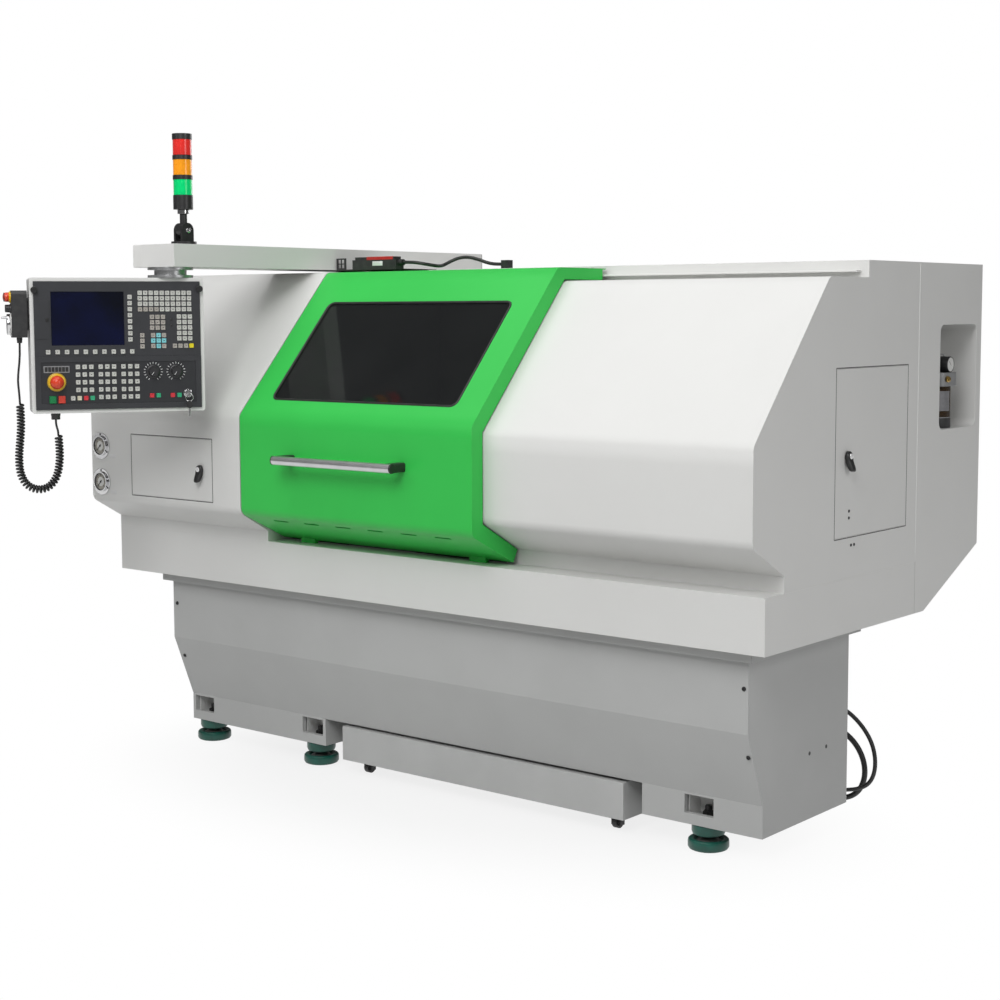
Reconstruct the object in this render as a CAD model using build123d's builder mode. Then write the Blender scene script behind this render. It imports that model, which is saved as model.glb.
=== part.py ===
"""Flat-bed CNC turning lathe in a sheet-metal enclosure, in millimetres.

While it is modelled, x runs from the headstock to the tailstock with 0 at the middle of the chip tray, y runs
from the operator to the back with 0 at the tray's front, and z is the height above the floor. At the end every
piece moves by the same step, so that the origin is at the middle of the machine's footprint.
"""

from copy import copy
from math import cos, pi, radians, sin, sqrt, tan
import os

from build123d import *

# Shared allowances
overrun = 5.0            # how far a cut runs past its face
slide_gap = 0.3          # gap at sliding seats
shaft_gap = 0.05         # radial gap of a shaft in its hole
panel_gap = 0.8          # gap round a hinged panel
sheet = 3.0              # enclosure sheet
bend_radius = 30.0       # large bends of the covers

# Levels above the floor
foot_height = 72.0
plinth_top = 159.0
axis_height = 1020.0     # spindle axis

# Levels below and over the spindle axis
base_drop = 464.0
tray_bottom_drop = 435.0
tray_top_drop = 287.0
centre_height = 200.0    # over the ways
roof_rise = 556.0
cover_rise = 548.0       # headstock cover and door
tail_rise = 510.0

# Chip tray
tray_length = 2500.0
tray_depth = 816.0
tray_wall = 4.0
tray_ledge = 96.0
tray_end_ledge = 30.0

# Machine base
base_left_inset = 186.0
base_right_inset = 85.0
base_fold_drop = 193.0   # below the base's top
base_front = 64.0
base_foot_front = 141.0
base_back = 593.0
base_wall = 14.0
base_floor = 16.0
base_crown = 20.0
base_flange_lip = 24.0
left_plinth_length = 631.0
right_plinth_length = 380.0
plinth_window_length = 92.0
plinth_window_height = 52.0
plinth_window_edge = 12.0
rear_opening_drop = 156.0
front_panel_thickness = 3.0

# Levelling feet
foot_pad_diameter = 112.0
foot_pad_height = 24.0
foot_cone_diameter = 78.0
foot_cone_height = 20.0
foot_stud_diameter = 20.0
foot_nut_width = 34.0
foot_nut_height = 16.0
foot_end_inset = 49.0
foot_inner_inset = 69.0
foot_right_inset = 196.0
foot_front_row = 190.0
foot_back_row = 545.0

# Coolant tank
tank_left_gap = 84.0
tank_right_gap = 57.0
tank_front = 132.0
tank_back = 560.0
tank_clearance = 44.0
tank_low_top = 150.0
tank_high_front = 210.0
tank_high_share = 0.355  # of the bay's height
tank_lid_thickness = 6.0
pump_diameter = 120.0
pump_share = 0.428       # of the bay's height
pump_inset = 130.0
caster_wheel_diameter = 38.0
caster_wheel_width = 16.0
caster_inset = 60.0
caster_plate = 40.0

# Bed
bed_left_inset = 100.0
bed_right_inset = 150.0
bed_middle = 328.0
bed_width = 300.0
bed_foot_width = 74.0
bed_foot_height = 26.0
bed_web = 30.0
bed_way_width = 64.0
bed_way_depth = 40.0
vee_height = 12.0
vee_width = 30.0
rib_thickness = 24.0
rib_pitch = 240.0
rib_height = 110.0

# Headstock casting
headstock_left_inset = 320.0
headstock_length = 370.0
headstock_width = 320.0
headstock_top_rise = 130.0
headstock_wall = 30.0
headstock_corner = 24.0

# Spindle, bearings and pulley
spindle_bore = 52.0
front_bearing_bore = 110.0
front_bearing_outside = 160.0
front_bearing_width = 45.0
rear_bearing_bore = 90.0
rear_bearing_outside = 140.0
rear_bearing_width = 40.0
pulley_seat_diameter = 80.0
spindle_tail = 155.0
nose_diameter = 165.0
nose_length = 36.0
nose_clear = 4.0
pulley_diameter = 180.0
motor_pulley_diameter = 120.0
pulley_width = 60.0
pulley_groove_depth = 5.0
pulley_grooves = 4
belt_thickness = 7.0

# Spindle motor
motor_y = 690.0
motor_drop = 140.0
motor_width = 210.0
motor_length = 380.0
motor_corner = 26.0
motor_shaft_diameter = 38.0
motor_pulley_clear = 25.0
motor_foot_width = 46.0
motor_box_height = 46.0
motor_fin_depth = 8.0
motor_fins = 6

# Chuck
chuck_diameter = 200.0
chuck_length = 85.0
chuck_face_step = 6.0
jaw_width = 26.0
jaw_slot_depth = 22.0
jaw_length = 62.0
jaw_step_height = 16.0
jaw_steps = 3
jaw_inner_radius = 34.0

# Carriage
saddle_x = 120.0
saddle_length = 340.0
saddle_overhang = 26.0
saddle_thickness = 56.0
saddle_waist = 150.0
apron_thickness = 44.0
apron_drop = 120.0
dovetail_height = 18.0
dovetail_width = 120.0
dovetail_angle = 55.0
cross_slide_width = 170.0
cross_slide_length = 300.0
cross_slide_thickness = 40.0
cross_slide_y = 170.0
slide_slot_width = 14.0
slide_slot_depth = 16.0

# Tool turret
turret_base_diameter = 150.0
turret_base_height = 44.0
turret_width = 150.0
turret_height = 96.0
turret_y = 150.0
tool_shank = 20.0
tool_length = 120.0
tool_reach = 42.0
turret_cap_diameter = 70.0
turret_cap_height = 22.0

# Longitudinal ball screw
screw_diameter = 32.0
screw_y = 150.0
screw_drop = 95.0        # below the ways
screw_block = 60.0
screw_block_width = 70.0
servo_width = 90.0
servo_length = 110.0
screw_right_inset = 145.0

# Tailstock
tailstock_inset = 400.0  # from the bed's right end
tailstock_length = 260.0
tailstock_foot_width = 250.0
tailstock_foot_height = 46.0
tailstock_neck = 90.0
barrel_diameter = 124.0
quill_diameter = 64.0
quill_reach = 110.0
centre_length = 60.0
centre_diameter = 44.0
wheel_diameter = 170.0
wheel_rim = 20.0
wheel_hub = 46.0
wheel_width = 20.0
wheel_spoke = 18.0
crank_diameter = 17.0
crank_length = 58.0

# Outline shared by the headstock cover and the sliding door
cover_front = -113.0
cover_fold_rise = 98.0   # over the tray
cover_bend_rise = 112.0  # over the axis
cover_foot_rise = 33.0   # over the tray
slant_rise = 417.0
slant_run = 368.0
roof_front = 516.0
headstock_cover_length = 717.0
spindle_hole_diameter = 190.0

# Tail cover
tail_front = -63.0
tail_foot_y = 92.0
tail_foot_rise = 43.5    # over the tray
tail_fold_rise = 130.0   # over the tray
tail_overlap = 45.0

# Sliding door
door_width = 928.0
door_edge_gap = 4.0
door_flange_gap = 4.0
door_foot_y = 66.0
door_foot_rise = 8.0     # over the tray
door_back = 505.0
window_width = 738.0
window_height = 391.0
window_radius = 24.0
window_lap = 22.0
window_thickness = 6.0
window_low_share = 0.11  # lower edge of the window, as a share of the slant's length
slot_count = 6
slot_length = 62.0
slot_width = 10.0
slot_pitch = 130.0
slot_from_fold = 40.0
runner_length = 60.0
runner_width = 14.0
runner_inset = 90.0

# Door handle
handle_diameter = 27.0
handle_length = 512.0
handle_standoff = 57.0
handle_drop = 12.0       # below the axis
handle_left_inset = 209.0
bracket_width = 34.0
bracket_height = 38.0
bracket_lean = 22.0

# Rear cabinet
cabinet_front = 818.0
cabinet_back = 1225.0
cabinet_back_rise = 12.0  # over the tray
cabinet_slope_foot = 874.0
recess_front = 952.0
recess_back = 1194.0
recess_rise = 80.0       # over the axis
recess_height = 301.0
recess_depth = 150.0
recess_radius = 22.0
louvre_length = 180.0
louvre_width = 8.0
louvre_pitch = 22.0
louvre_rows = 8
louvre_rise = 280.0      # over the axis
louvre_column_share = 0.32
rail_depth = 24.0
rail_thickness = 5.0
rail_drop = 31.0         # below the roof

# Access doors and latches
front_hatch_left = 204.0
front_hatch_length = 386.0
front_hatch_drop = 163.0  # below the axis
front_hatch_height = 194.0
front_latch_inset = 51.0
end_hatch_front = 347.0
end_hatch_back = 752.0
end_hatch_drop = 176.0   # below the axis
end_hatch_height = 447.0
end_latch_inset = 61.0
end_latch_rise = 38.0    # over the axis
latch_diameter = 34.0
latch_collar = 5.0
latch_knob_width = 14.0
latch_knob_height = 20.0
latch_body_diameter = 22.0
latch_cam_length = 38.0
latch_cam_width = 18.0
latch_cam_thickness = 3.0

# Pressure gauges
gauge_left_inset = 50.0
gauge_drops = (130.0, 12.0)  # below the axis
gauge_flange_diameter = 86.0
gauge_case_diameter = 66.0
gauge_flange_thickness = 4.0
gauge_bezel = 10.0
gauge_body_length = 32.0
gauge_dial_diameter = 58.0
gauge_dial_recess = 5.0
gauge_stem_diameter = 14.0
gauge_stem_length = 26.0

# Lubricator
lube_y = 1050.0
lube_x_inset = 62.0
lube_reservoir_diameter = 92.0
lube_base_height = 32.0
lube_glass_height = 90.0
lube_head_height = 40.0
lube_head_width = 104.0
lube_gauge_diameter = 46.0
lube_gauge_length = 30.0
lube_fitting_diameter = 16.0
lube_fitting_length = 34.0
lube_bail_bend = 9.0
lube_bail_wire = 4.0
lube_bail_height = 54.0
lube_bail_reach = 58.0

# Pendant arm
arm_inset = 587.0        # from the tray's left end
arm_width = 150.0
arm_gap = 2.0            # over the roof
arm_height = 68.0
arm_front = -307.0
arm_back = 1107.0
arm_wall = 4.0
arm_foot_diameter = 120.0
pivot_y = -259.0
coupling_diameter = 135.0
coupling_rim = 8.0
coupling_neck_diameter = 96.0

# Pendant
pendant_turn = 57.5      # degrees that the pendant is turned towards the tail
pendant_drop = 230.5     # below the arm
pendant_pivot_right = 163.0
pendant_face = 53.0      # from the pivot to the fascia
housing_width = 505.0
housing_height = 397.0
housing_depth = 118.0
housing_corner = 8.0
panel_width = 483.0
display_height = 220.0
key_panel_height = 155.0
panel_thickness = 6.0
bezel_width = 16.0
rim_setback = 4.0        # from the fascia back to the housing's rim
screen_width = 211.0
screen_height = 158.0
screen_recess = 3.0
screen_left_share = 0.1
screen_top_share = 0.135
card_width = 44.0
card_height = 113.0
card_thickness = 1.5
card_top_share = 0.25
bezel_height = 2.5
stem_diameter = 8.0
key_size = 13.0
key_depth = 3.0
cable_gland_right = -346.0

# Key blocks as shares of their panel: first key, last key, columns, rows
display_key_shares = [
    ((0.571, 0.209), (0.571, 0.776), 1, 8),
    ((0.079, 0.938), (0.580, 0.938), 10, 1),
    ((0.633, 0.154), (0.933, 0.374), 10, 4),
    ((0.704, 0.477), (0.771, 0.622), 3, 3),
    ((0.709, 0.723), (0.775, 0.868), 3, 3),
    ((0.643, 0.723), (0.643, 0.872), 1, 3),
    ((0.869, 0.473), (0.936, 0.769), 3, 5),
    ((0.841, 0.868), (0.943, 0.868), 4, 1),
]
panel_key_shares = [
    ((0.252, 0.196), (0.332, 0.632), 3, 4),
    ((0.2195, 0.788), (0.3356, 0.788), 4, 1),
    ((0.388, 0.196), (0.468, 0.773), 3, 5),
    ((0.525, 0.196), (0.607, 0.773), 3, 5),
    ((0.695, 0.760), (0.735, 0.760), 2, 1),
    ((0.822, 0.760), (0.863, 0.760), 2, 1),
    ((0.0995, 0.810), (0.153, 0.810), 2, 1),
]
estop_shares = (0.124, 0.48)
dial_shares = [(0.705, 0.30), (0.844, 0.30)]
key_switch_shares = (0.915, 0.726)

# Controls on the key panel
estop_diameter = 40.0
estop_height = 26.0
estop_collar_diameter = 52.0
estop_collar_height = 8.0
estop_travel = 5.0
estop_stem_diameter = 22.0
dial_diameter = 31.0
dial_height = 18.0
dial_skirt_diameter = 40.0
dial_skirt_height = 4.0
key_switch_diameter = 20.0
key_switch_height = 10.0
key_blade_width = 22.0
key_blade_height = 24.0
key_blade_thickness = 2.5

# Hand-held pulse unit
mpg_height = 137.0
mpg_width = 75.0
mpg_depth = 44.0
mpg_low = 24.0
mpg_holder = 6.0
mpg_wheel_diameter = 60.0
mpg_wheel_thickness = 12.0
mpg_wheel_share = 0.28
mpg_crank_diameter = 8.0
mpg_crank_length = 16.0
mpg_knob_diameter = 22.0
mpg_knob_height = 16.0
mpg_knob_share = 0.62
mpg_stop_diameter = 26.0
mpg_stop_height = 20.0
mpg_stop_share = 0.86
mpg_gland_diameter = 15.0
mpg_gland_length = 16.0

# Signal tower
tower_y = -204.0
tower_diameter = 59.0
tower_cap = 17.0
tower_lens = 47.0
tower_ring = 12.5
tower_socket = 42.0
tower_collar = 13.0
tower_collar_diameter = 34.0
tower_pole = 27.0
tower_pole_diameter = 22.0
knuckle_diameter = 46.0
knuckle_width = 22.0
knuckle_ear = 8.0
knuckle_pin = 8.0
tower_foot_diameter = 76.0
tower_foot_height = 10.0
tower_foot_neck = 10.0

# Door interlock switch
switch_inset = 742.0     # from the tray's left end
switch_length = 190.0
switch_y = 364.0
switch_width = 36.0
switch_height = 38.0
switch_cap_height = 9.0
switch_gland_length = 16.0
switch_gland_diameter = 20.0
stop_bracket_width = 42.0
stop_bracket_height = 36.0
stop_bracket_gap = 30.0
stop_bracket_hole = 12.0
switch_plate_lap = 40.0    # how far its plate lies on the roof

# Cords
curl_diameter = 26.0     # outside of the curly cord's coil
lead_diameter = 6.5
cable_gland_diameter = 24.0
cable_gland_length = 20.0
switch_cable_diameter = 11.0
pump_cable_diameter = 12.0
conduit_diameter = 16.0
wall_gland_length = 14.0
wall_gland_wall = 5.0
roof_gland_length = 28.0
roof_gland_width = 24.0
roof_gland_height = 26.0
lead_route = [
    (-443.5, 8.0), (-443.5, -30.0), (-448.0, -66.0), (-452.0, -102.0), (-449.0, -136.0), (-447.5, -168.0),
]
coil_route = [
    (-447.5, -168.0), (-445.0, -221.3), (-449.0, -274.0), (-455.0, -326.0), (-453.0, -376.0), (-436.0, -412.0),
    (-403.0, -428.0), (-369.0, -420.0), (-347.0, -390.0), (-338.0, -348.0), (-337.0, -305.0), (-340.0, -263.0),
]
tail_route = [(-340.0, -263.0), (-340.8, -251.8), (-344.0, -241.0), (-346.0, -230.0), (-346.0, -218.5)]
switch_cable_steps = [       # along the tray, y, and over the roof
    (948.0, 382.0, 22.0), (984.0, 382.0, 22.0), (1016.0, 391.0, 17.5), (1036.0, 416.0, 12.0),
    (1038.0, 448.0, 9.5), (1031.0, 478.0, 12.5), (1040.0, 504.0, 26.0), (1064.0, 518.0, 37.0),
    (1096.0, 526.0, 38.5), (1130.0, 533.0, 30.0), (1160.0, 540.0, 19.0), (1192.0, 541.0, 14.0),
    (1224.0, 541.0, 14.0),
]
pump_cable_steps = [         # from the base's right end, from its back, and over the floor
    (-85.0, 14.0, 330.0), (-85.0, 49.0, 330.0), (-73.0, 83.0, 321.0), (-47.0, 107.0, 298.0),
    (-14.0, 118.0, 263.0), (15.0, 118.0, 222.0), (30.0, 113.0, 177.0), (29.0, 109.0, 134.0),
    (13.0, 105.0, 102.0), (-16.0, 97.0, 86.0), (-47.0, 80.0, 82.0), (-67.0, 51.0, 84.0),
    (-67.0, 14.0, 84.0),
]
conduit_steps = [            # from the base's right end, from its back, and over the floor
    (-115.0, 14.0, 262.0), (-115.0, 57.0, 262.0), (-105.0, 99.0, 256.0), (-82.0, 131.0, 237.0),
    (-51.0, 149.0, 202.0), (-27.0, 152.0, 158.0), (-19.0, 147.0, 112.0), (-31.0, 141.0, 72.0),
    (-57.0, 131.0, 48.0), (-91.0, 113.0, 44.0), (-115.0, 83.0, 58.0), (-123.0, 49.0, 72.0),
    (-123.0, 14.0, 72.0),
]

# Worked out from the sizes above
x_left = -tray_length / 2
x_right = tray_length / 2
base_left = x_left + base_left_inset
base_right = x_right - base_right_inset
partition_x = x_left + headstock_cover_length
door_left = partition_x + door_edge_gap
door_right = partition_x + door_width
tail_left = door_right - tail_overlap
bed_left = x_left + bed_left_inset
bed_right = x_right - bed_right_inset
tailstock_x = bed_right - tailstock_inset
headstock_left = x_left + headstock_left_inset
headstock_right = headstock_left + headstock_length
spindle_left = headstock_left - spindle_tail
chuck_left = headstock_right + nose_length + nose_clear
chuck_right = chuck_left + chuck_length
plinth_gap_left = base_left + left_plinth_length
plinth_gap_right = base_right - right_plinth_length
tank_length = plinth_gap_right - plinth_gap_left - tank_left_gap - tank_right_gap
arm_x = x_left + arm_inset
switch_left = x_left + switch_inset
base_top = axis_height - base_drop
base_fold_height = base_top - base_fold_drop
rear_opening_height = base_top - rear_opening_drop
tank_high_top = plinth_top + tank_high_share * (base_top - plinth_top)
pump_height = pump_share * (base_top - plinth_top)
tray_bottom = axis_height - tray_bottom_drop
tray_top = axis_height - tray_top_drop
way_height = axis_height - centre_height
screw_z = way_height - screw_drop
motor_z = axis_height - motor_drop
roof_height = axis_height + roof_rise
rail_height = roof_height - rail_drop
cover_top = axis_height + cover_rise
cover_foot_height = tray_top + cover_foot_rise
cover_fold_height = tray_top + cover_fold_rise
cover_bend_height = axis_height + cover_bend_rise
tail_top = axis_height + tail_rise
tail_foot_height = tray_top + tail_foot_rise
tail_fold_height = tray_top + tail_fold_rise
tail_bend_height = tail_top - slant_rise
door_foot_height = tray_top + door_foot_rise
handle_height = axis_height - handle_drop
cabinet_back_bottom = tray_top + cabinet_back_rise
recess_bottom = axis_height + recess_rise
recess_top = recess_bottom + recess_height
louvre_height = axis_height + louvre_rise
front_hatch_bottom = axis_height - front_hatch_drop
front_hatch_top = front_hatch_bottom + front_hatch_height
end_hatch_bottom = axis_height - end_hatch_drop
end_hatch_top = end_hatch_bottom + end_hatch_height
end_latch_height = axis_height + end_latch_rise
gauge_heights = [axis_height - drop for drop in gauge_drops]
arm_bottom = roof_height + arm_gap
pendant_middle = arm_bottom - pendant_drop
switch_route = [(x_left + x, y, roof_height + z) for x, y, z in switch_cable_steps]
pump_cable_route = [(base_right + x, base_back + y, z) for x, y, z in pump_cable_steps]
conduit_route = [(base_right + x, base_back + y, z) for x, y, z in conduit_steps]


def block(x_span, y_span, z_span, mode=Mode.ADD):
    """A box between two places on each axis."""
    low = (min(x_span), min(y_span), min(z_span))
    sizes = [abs(span[1] - span[0]) for span in (x_span, y_span, z_span)]
    with Locations(low):
        Box(*sizes, align=(Align.MIN, Align.MIN, Align.MIN), mode=mode)


def rod(start, direction, diameter, length, mode=Mode.ADD):
    """A round bar from a point, along a direction."""
    with Locations(Plane(origin=start, z_dir=direction)):
        Cylinder(diameter / 2, length, align=(Align.CENTER, Align.CENTER, Align.MIN), mode=mode)


def closed_outline(points):
    """A flat face inside straight edges, drawn in its own sketch."""
    with BuildSketch() as face:
        with BuildLine():
            Polyline(*points, close=True)
        make_face()
    return face.sketch


def cord_radii(points):
    """The largest arc that fits each corner of a cord's route."""
    radii = []
    for before, corner, after in zip(points, points[1:], points[2:]):
        first = Vector(corner) - Vector(before)
        second = Vector(after) - Vector(corner)
        turn = radians(first.get_angle(second))
        radii.append(0.45 * min(first.length, second.length) / tan(turn / 2))
    return radii


def cord_tube(points, diameter):
    """A round tube along straight runs and tangent arcs."""
    radii = cord_radii(points)
    with BuildPart() as tube:
        with BuildLine() as route:
            FilletPolyline(*points, radius=radii)
        with BuildSketch(Plane(origin=points[0], z_dir=Vector(points[1]) - Vector(points[0]))):
            Circle(diameter / 2)
        sweep()
    length = sum(edge.length for edge in route.edges())
    print("cord", diameter, "length", round(length), "tightest", round(min(radii)), "share of volume",
          round(tube.part.volume / (length * pi * diameter ** 2 / 4), 4))
    return tube.part


pieces = {}

# Machine base: a welded stand with two plinths and a flange that carries the tray
base_outline = [
    (base_front + front_panel_thickness, base_top),
    (base_front + front_panel_thickness, base_fold_height),
    (base_foot_front + front_panel_thickness, plinth_top),
    (base_foot_front, plinth_top),
    (base_foot_front, foot_height),
    (base_back, foot_height),
    (base_back, base_top),
]
cell_outline = [
    (base_front + front_panel_thickness + base_wall, base_top - base_crown),
    (base_front + front_panel_thickness + base_wall, base_fold_height),
    (base_foot_front + front_panel_thickness + base_wall, plinth_top),
    (base_foot_front + front_panel_thickness + base_wall, foot_height + base_floor),
    (base_back - base_wall, foot_height + base_floor),
    (base_back - base_wall, base_top - base_crown),
]
foot_places = [
    (base_left + foot_end_inset, foot_front_row),
    (base_left + foot_end_inset, foot_back_row),
    (plinth_gap_left - foot_inner_inset, foot_front_row),
    (plinth_gap_left - foot_inner_inset, foot_back_row),
    (base_right - foot_right_inset, foot_front_row),
    (base_right - foot_right_inset, foot_back_row),
]
cell_spans = [
    (base_left + base_wall, plinth_gap_left - base_wall),
    (plinth_gap_left, plinth_gap_right),
    (plinth_gap_right + base_wall, base_right - base_wall),
]
window_lefts = [
    base_left + plinth_window_edge,
    plinth_gap_left - plinth_window_edge - plinth_window_length,
    base_right - foot_right_inset - plinth_window_length / 2,
]
with BuildPart() as machine_base:
    with BuildSketch(Plane.YZ.offset(base_left)):
        add(closed_outline(base_outline))
    extrude(amount=base_right - base_left)
    for span in cell_spans:
        with BuildSketch(Plane.YZ.offset(span[0])):
            add(closed_outline(cell_outline))
        extrude(amount=span[1] - span[0], mode=Mode.SUBTRACT)
    block(
        (plinth_gap_left, plinth_gap_right),
        (base_foot_front - overrun, base_back + overrun),
        (foot_height - overrun, plinth_top),
        Mode.SUBTRACT,
    )
    block(
        (plinth_gap_left, plinth_gap_right),
        (base_back - base_wall - overrun, base_back + overrun),
        (foot_height, rear_opening_height),
        Mode.SUBTRACT,
    )
    for left in window_lefts:
        block(
            (left, left + plinth_window_length),
            (base_foot_front - overrun, base_foot_front + base_wall + overrun),
            (plinth_top - plinth_window_edge / 2 - plinth_window_height, plinth_top - plinth_window_edge / 2),
            Mode.SUBTRACT,
        )
    for place in foot_places:
        rod((*place, foot_height - overrun), (0, 0, 1), foot_stud_diameter + 2 * slide_gap, base_floor + 2 * overrun,
            Mode.SUBTRACT)
    block(
        (base_left - base_flange_lip, base_right + base_flange_lip),
        (base_front - base_flange_lip, base_back + base_flange_lip),
        (base_top, tray_bottom),
    )
    for cord_route, cord_diameter in ((pump_cable_route, pump_cable_diameter), (conduit_route, conduit_diameter)):
        for x, y, z in (cord_route[0], cord_route[-1]):
            rod((x, base_back, z), (0, 1, 0), cord_diameter + 2 * wall_gland_wall, wall_gland_length)
pieces["machine_base"] = machine_base.part

# Front panel: one sheet folded along the stand's slope
with BuildPart() as base_front_panel:
    with BuildSketch(Plane.YZ.offset(base_left)):
        add(closed_outline([
            (base_front, base_top),
            (base_front, base_fold_height),
            (base_foot_front, plinth_top),
            (base_foot_front + front_panel_thickness, plinth_top),
            (base_front + front_panel_thickness, base_fold_height),
            (base_front + front_panel_thickness, base_top),
        ]))
    extrude(amount=base_right - base_left)
pieces["base_front_panel"] = base_front_panel.part

# Levelling feet: a stepped pad with a stud, a carrying nut below the plinth and a lock nut above it
with BuildPart() as levelling_feet:
    for place in foot_places:
        with BuildSketch(Plane(origin=(*place, 0), x_dir=(1, 0, 0), z_dir=(0, -1, 0))):
            with BuildLine():
                Polyline(
                    (0, 0),
                    (foot_pad_diameter / 2, 0),
                    (foot_pad_diameter / 2, foot_pad_height),
                    (foot_cone_diameter / 2, foot_pad_height),
                    (foot_stud_diameter, foot_pad_height + foot_cone_height),
                    (foot_stud_diameter / 2, foot_pad_height + foot_cone_height),
                    (foot_stud_diameter / 2, foot_height + base_floor + 2 * foot_nut_height),
                    (0, foot_height + base_floor + 2 * foot_nut_height),
                    close=True,
                )
            make_face()
        revolve(axis=Axis((*place, 0), (0, 0, 1)))
        for nut_bottom in (foot_height - foot_nut_height, foot_height + base_floor):
            with BuildSketch(Plane.XY.offset(nut_bottom)):
                with Locations(place):
                    RegularPolygon(foot_nut_width / 2, 6)
            extrude(amount=foot_nut_height)
pieces["levelling_feet"] = levelling_feet.part

# Coolant tank: a low front tray and a deeper back with its pump, on four casters
tank_left = plinth_gap_left + tank_left_gap
tank_right = tank_left + tank_length
caster_places = [
    (x, y)
    for x in (tank_left + caster_inset, tank_right - caster_inset)
    for y in (tank_front + caster_inset, tank_back - caster_inset)
]
with BuildPart() as coolant_tank:
    with BuildSketch(Plane.YZ.offset(tank_left)):
        add(closed_outline([
            (tank_front, tank_clearance),
            (tank_back, tank_clearance),
            (tank_back, tank_high_top),
            (tank_high_front, tank_high_top),
            (tank_high_front, tank_low_top),
            (tank_front, tank_low_top),
        ]))
    extrude(amount=tank_length)
    pump_place = (tank_right - pump_inset, (tank_high_front + tank_back) / 2, tank_high_top)
    rod(pump_place, (0, 0, 1), pump_diameter, pump_height)
    with Locations(pump_place):
        Box(
            pump_diameter + caster_inset,
            pump_diameter + caster_inset,
            tank_lid_thickness,
            align=(Align.CENTER, Align.CENTER, Align.MIN),
        )
    for x, y in caster_places:
        rod(
            (x - caster_wheel_width / 2, y, caster_wheel_diameter / 2),
            (1, 0, 0),
            caster_wheel_diameter,
            caster_wheel_width,
        )
        for side in (-1, 1):
            fork = (x + side * caster_wheel_width / 2, x + side * caster_wheel_width)
            block(fork, (y - caster_plate / 4, y + caster_plate / 4), (caster_wheel_diameter / 4, tank_clearance))
        block(
            (x - caster_plate / 2, x + caster_plate / 2),
            (y - caster_plate / 2, y + caster_plate / 2),
            (tank_clearance - sheet, tank_clearance),
        )
pieces["coolant_tank"] = coolant_tank.part

# Chip tray: a folded pan with a ledge round its mouth
with BuildPart() as chip_tray:
    block((x_left, x_right), (0, tray_depth), (tray_bottom, tray_top))
    block(
        (x_left + tray_wall, x_right - tray_wall),
        (tray_wall, tray_depth - tray_wall),
        (tray_bottom + tray_wall, tray_top - tray_wall),
        Mode.SUBTRACT,
    )
    block(
        (x_left + tray_end_ledge, x_right - tray_end_ledge),
        (tray_ledge, tray_depth - tray_wall),
        (tray_bottom + tray_wall, tray_top + overrun),
        Mode.SUBTRACT,
    )
pieces["chip_tray"] = chip_tray.part

# Bed: two webs on broad feet with a vee way in front and a flat way behind, tied by ribs
bed_bottom = tray_bottom + tray_wall
bed_front = bed_middle - bed_width / 2
bed_back = bed_middle + bed_width / 2
web_front = bed_front + (bed_way_width - bed_web) / 2
front_wall_outline = [
    (bed_front - (bed_foot_width - bed_way_width) / 2, bed_bottom),
    (bed_front + bed_way_width + (bed_foot_width - bed_way_width) / 2, bed_bottom),
    (bed_front + bed_way_width + (bed_foot_width - bed_way_width) / 2, bed_bottom + bed_foot_height),
    (web_front + bed_web, bed_bottom + bed_foot_height),
    (web_front + bed_web, way_height - bed_way_depth - (bed_way_width - bed_web) / 2),
    (bed_front + bed_way_width, way_height - bed_way_depth),
    (bed_front + bed_way_width, way_height),
    (bed_front, way_height),
    (bed_front, way_height - bed_way_depth),
    (web_front, way_height - bed_way_depth - (bed_way_width - bed_web) / 2),
    (web_front, bed_bottom + bed_foot_height),
    (bed_front - (bed_foot_width - bed_way_width) / 2, bed_bottom + bed_foot_height),
]
back_wall_outline = [(2 * bed_middle - y, z) for y, z in front_wall_outline]
vee_middle = bed_front + bed_way_width / 2
vee_left = headstock_right + nose_length
rib_count = int((bed_right - bed_left) / rib_pitch)
with BuildPart() as bed:
    with BuildSketch(Plane.YZ.offset(bed_left)):
        add(closed_outline(front_wall_outline))
        add(closed_outline(back_wall_outline))
    extrude(amount=bed_right - bed_left)
    with BuildSketch(Plane.YZ.offset(vee_left)):
        add(closed_outline([
            (vee_middle - vee_width / 2, way_height),
            (vee_middle + vee_width / 2, way_height),
            (vee_middle, way_height + vee_height),
        ]))
    extrude(amount=bed_right - vee_left)
    for rib in range(rib_count + 1):
        rib_left = bed_left + rib * (bed_right - bed_left - rib_thickness) / rib_count
        block(
            (rib_left, rib_left + rib_thickness),
            (web_front, 2 * bed_middle - web_front),
            (bed_bottom, bed_bottom + rib_height),
        )
pieces["bed"] = bed.part

# Headstock casting: a hollow box on the ways with a bearing seat in each end
headstock_front = bed_middle - headstock_width / 2
headstock_back = bed_middle + headstock_width / 2
headstock_top = axis_height + headstock_top_rise
front_seat_left = headstock_right - front_bearing_width
rear_seat_right = headstock_left + rear_bearing_width
with BuildPart() as headstock_housing:
    block((headstock_left, headstock_right), (headstock_front, headstock_back), (way_height, headstock_top))
    fillet(headstock_housing.edges().filter_by(Axis.X).group_by(Axis.Z)[-1], radius=headstock_corner)
    block(
        (rear_seat_right + headstock_wall / 2, front_seat_left - headstock_wall / 2),
        (headstock_front + headstock_wall, headstock_back - headstock_wall),
        (way_height + headstock_wall, headstock_top - headstock_wall),
        Mode.SUBTRACT,
    )
    rod((headstock_left - overrun, bed_middle, axis_height), (1, 0, 0), front_bearing_bore + 2 * nose_clear,
        headstock_length + 2 * overrun, Mode.SUBTRACT)
    rod((headstock_left, bed_middle, axis_height), (1, 0, 0), rear_bearing_outside, rear_bearing_width, Mode.SUBTRACT)
    rod((front_seat_left, bed_middle, axis_height), (1, 0, 0), front_bearing_outside, front_bearing_width,
        Mode.SUBTRACT)
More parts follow.
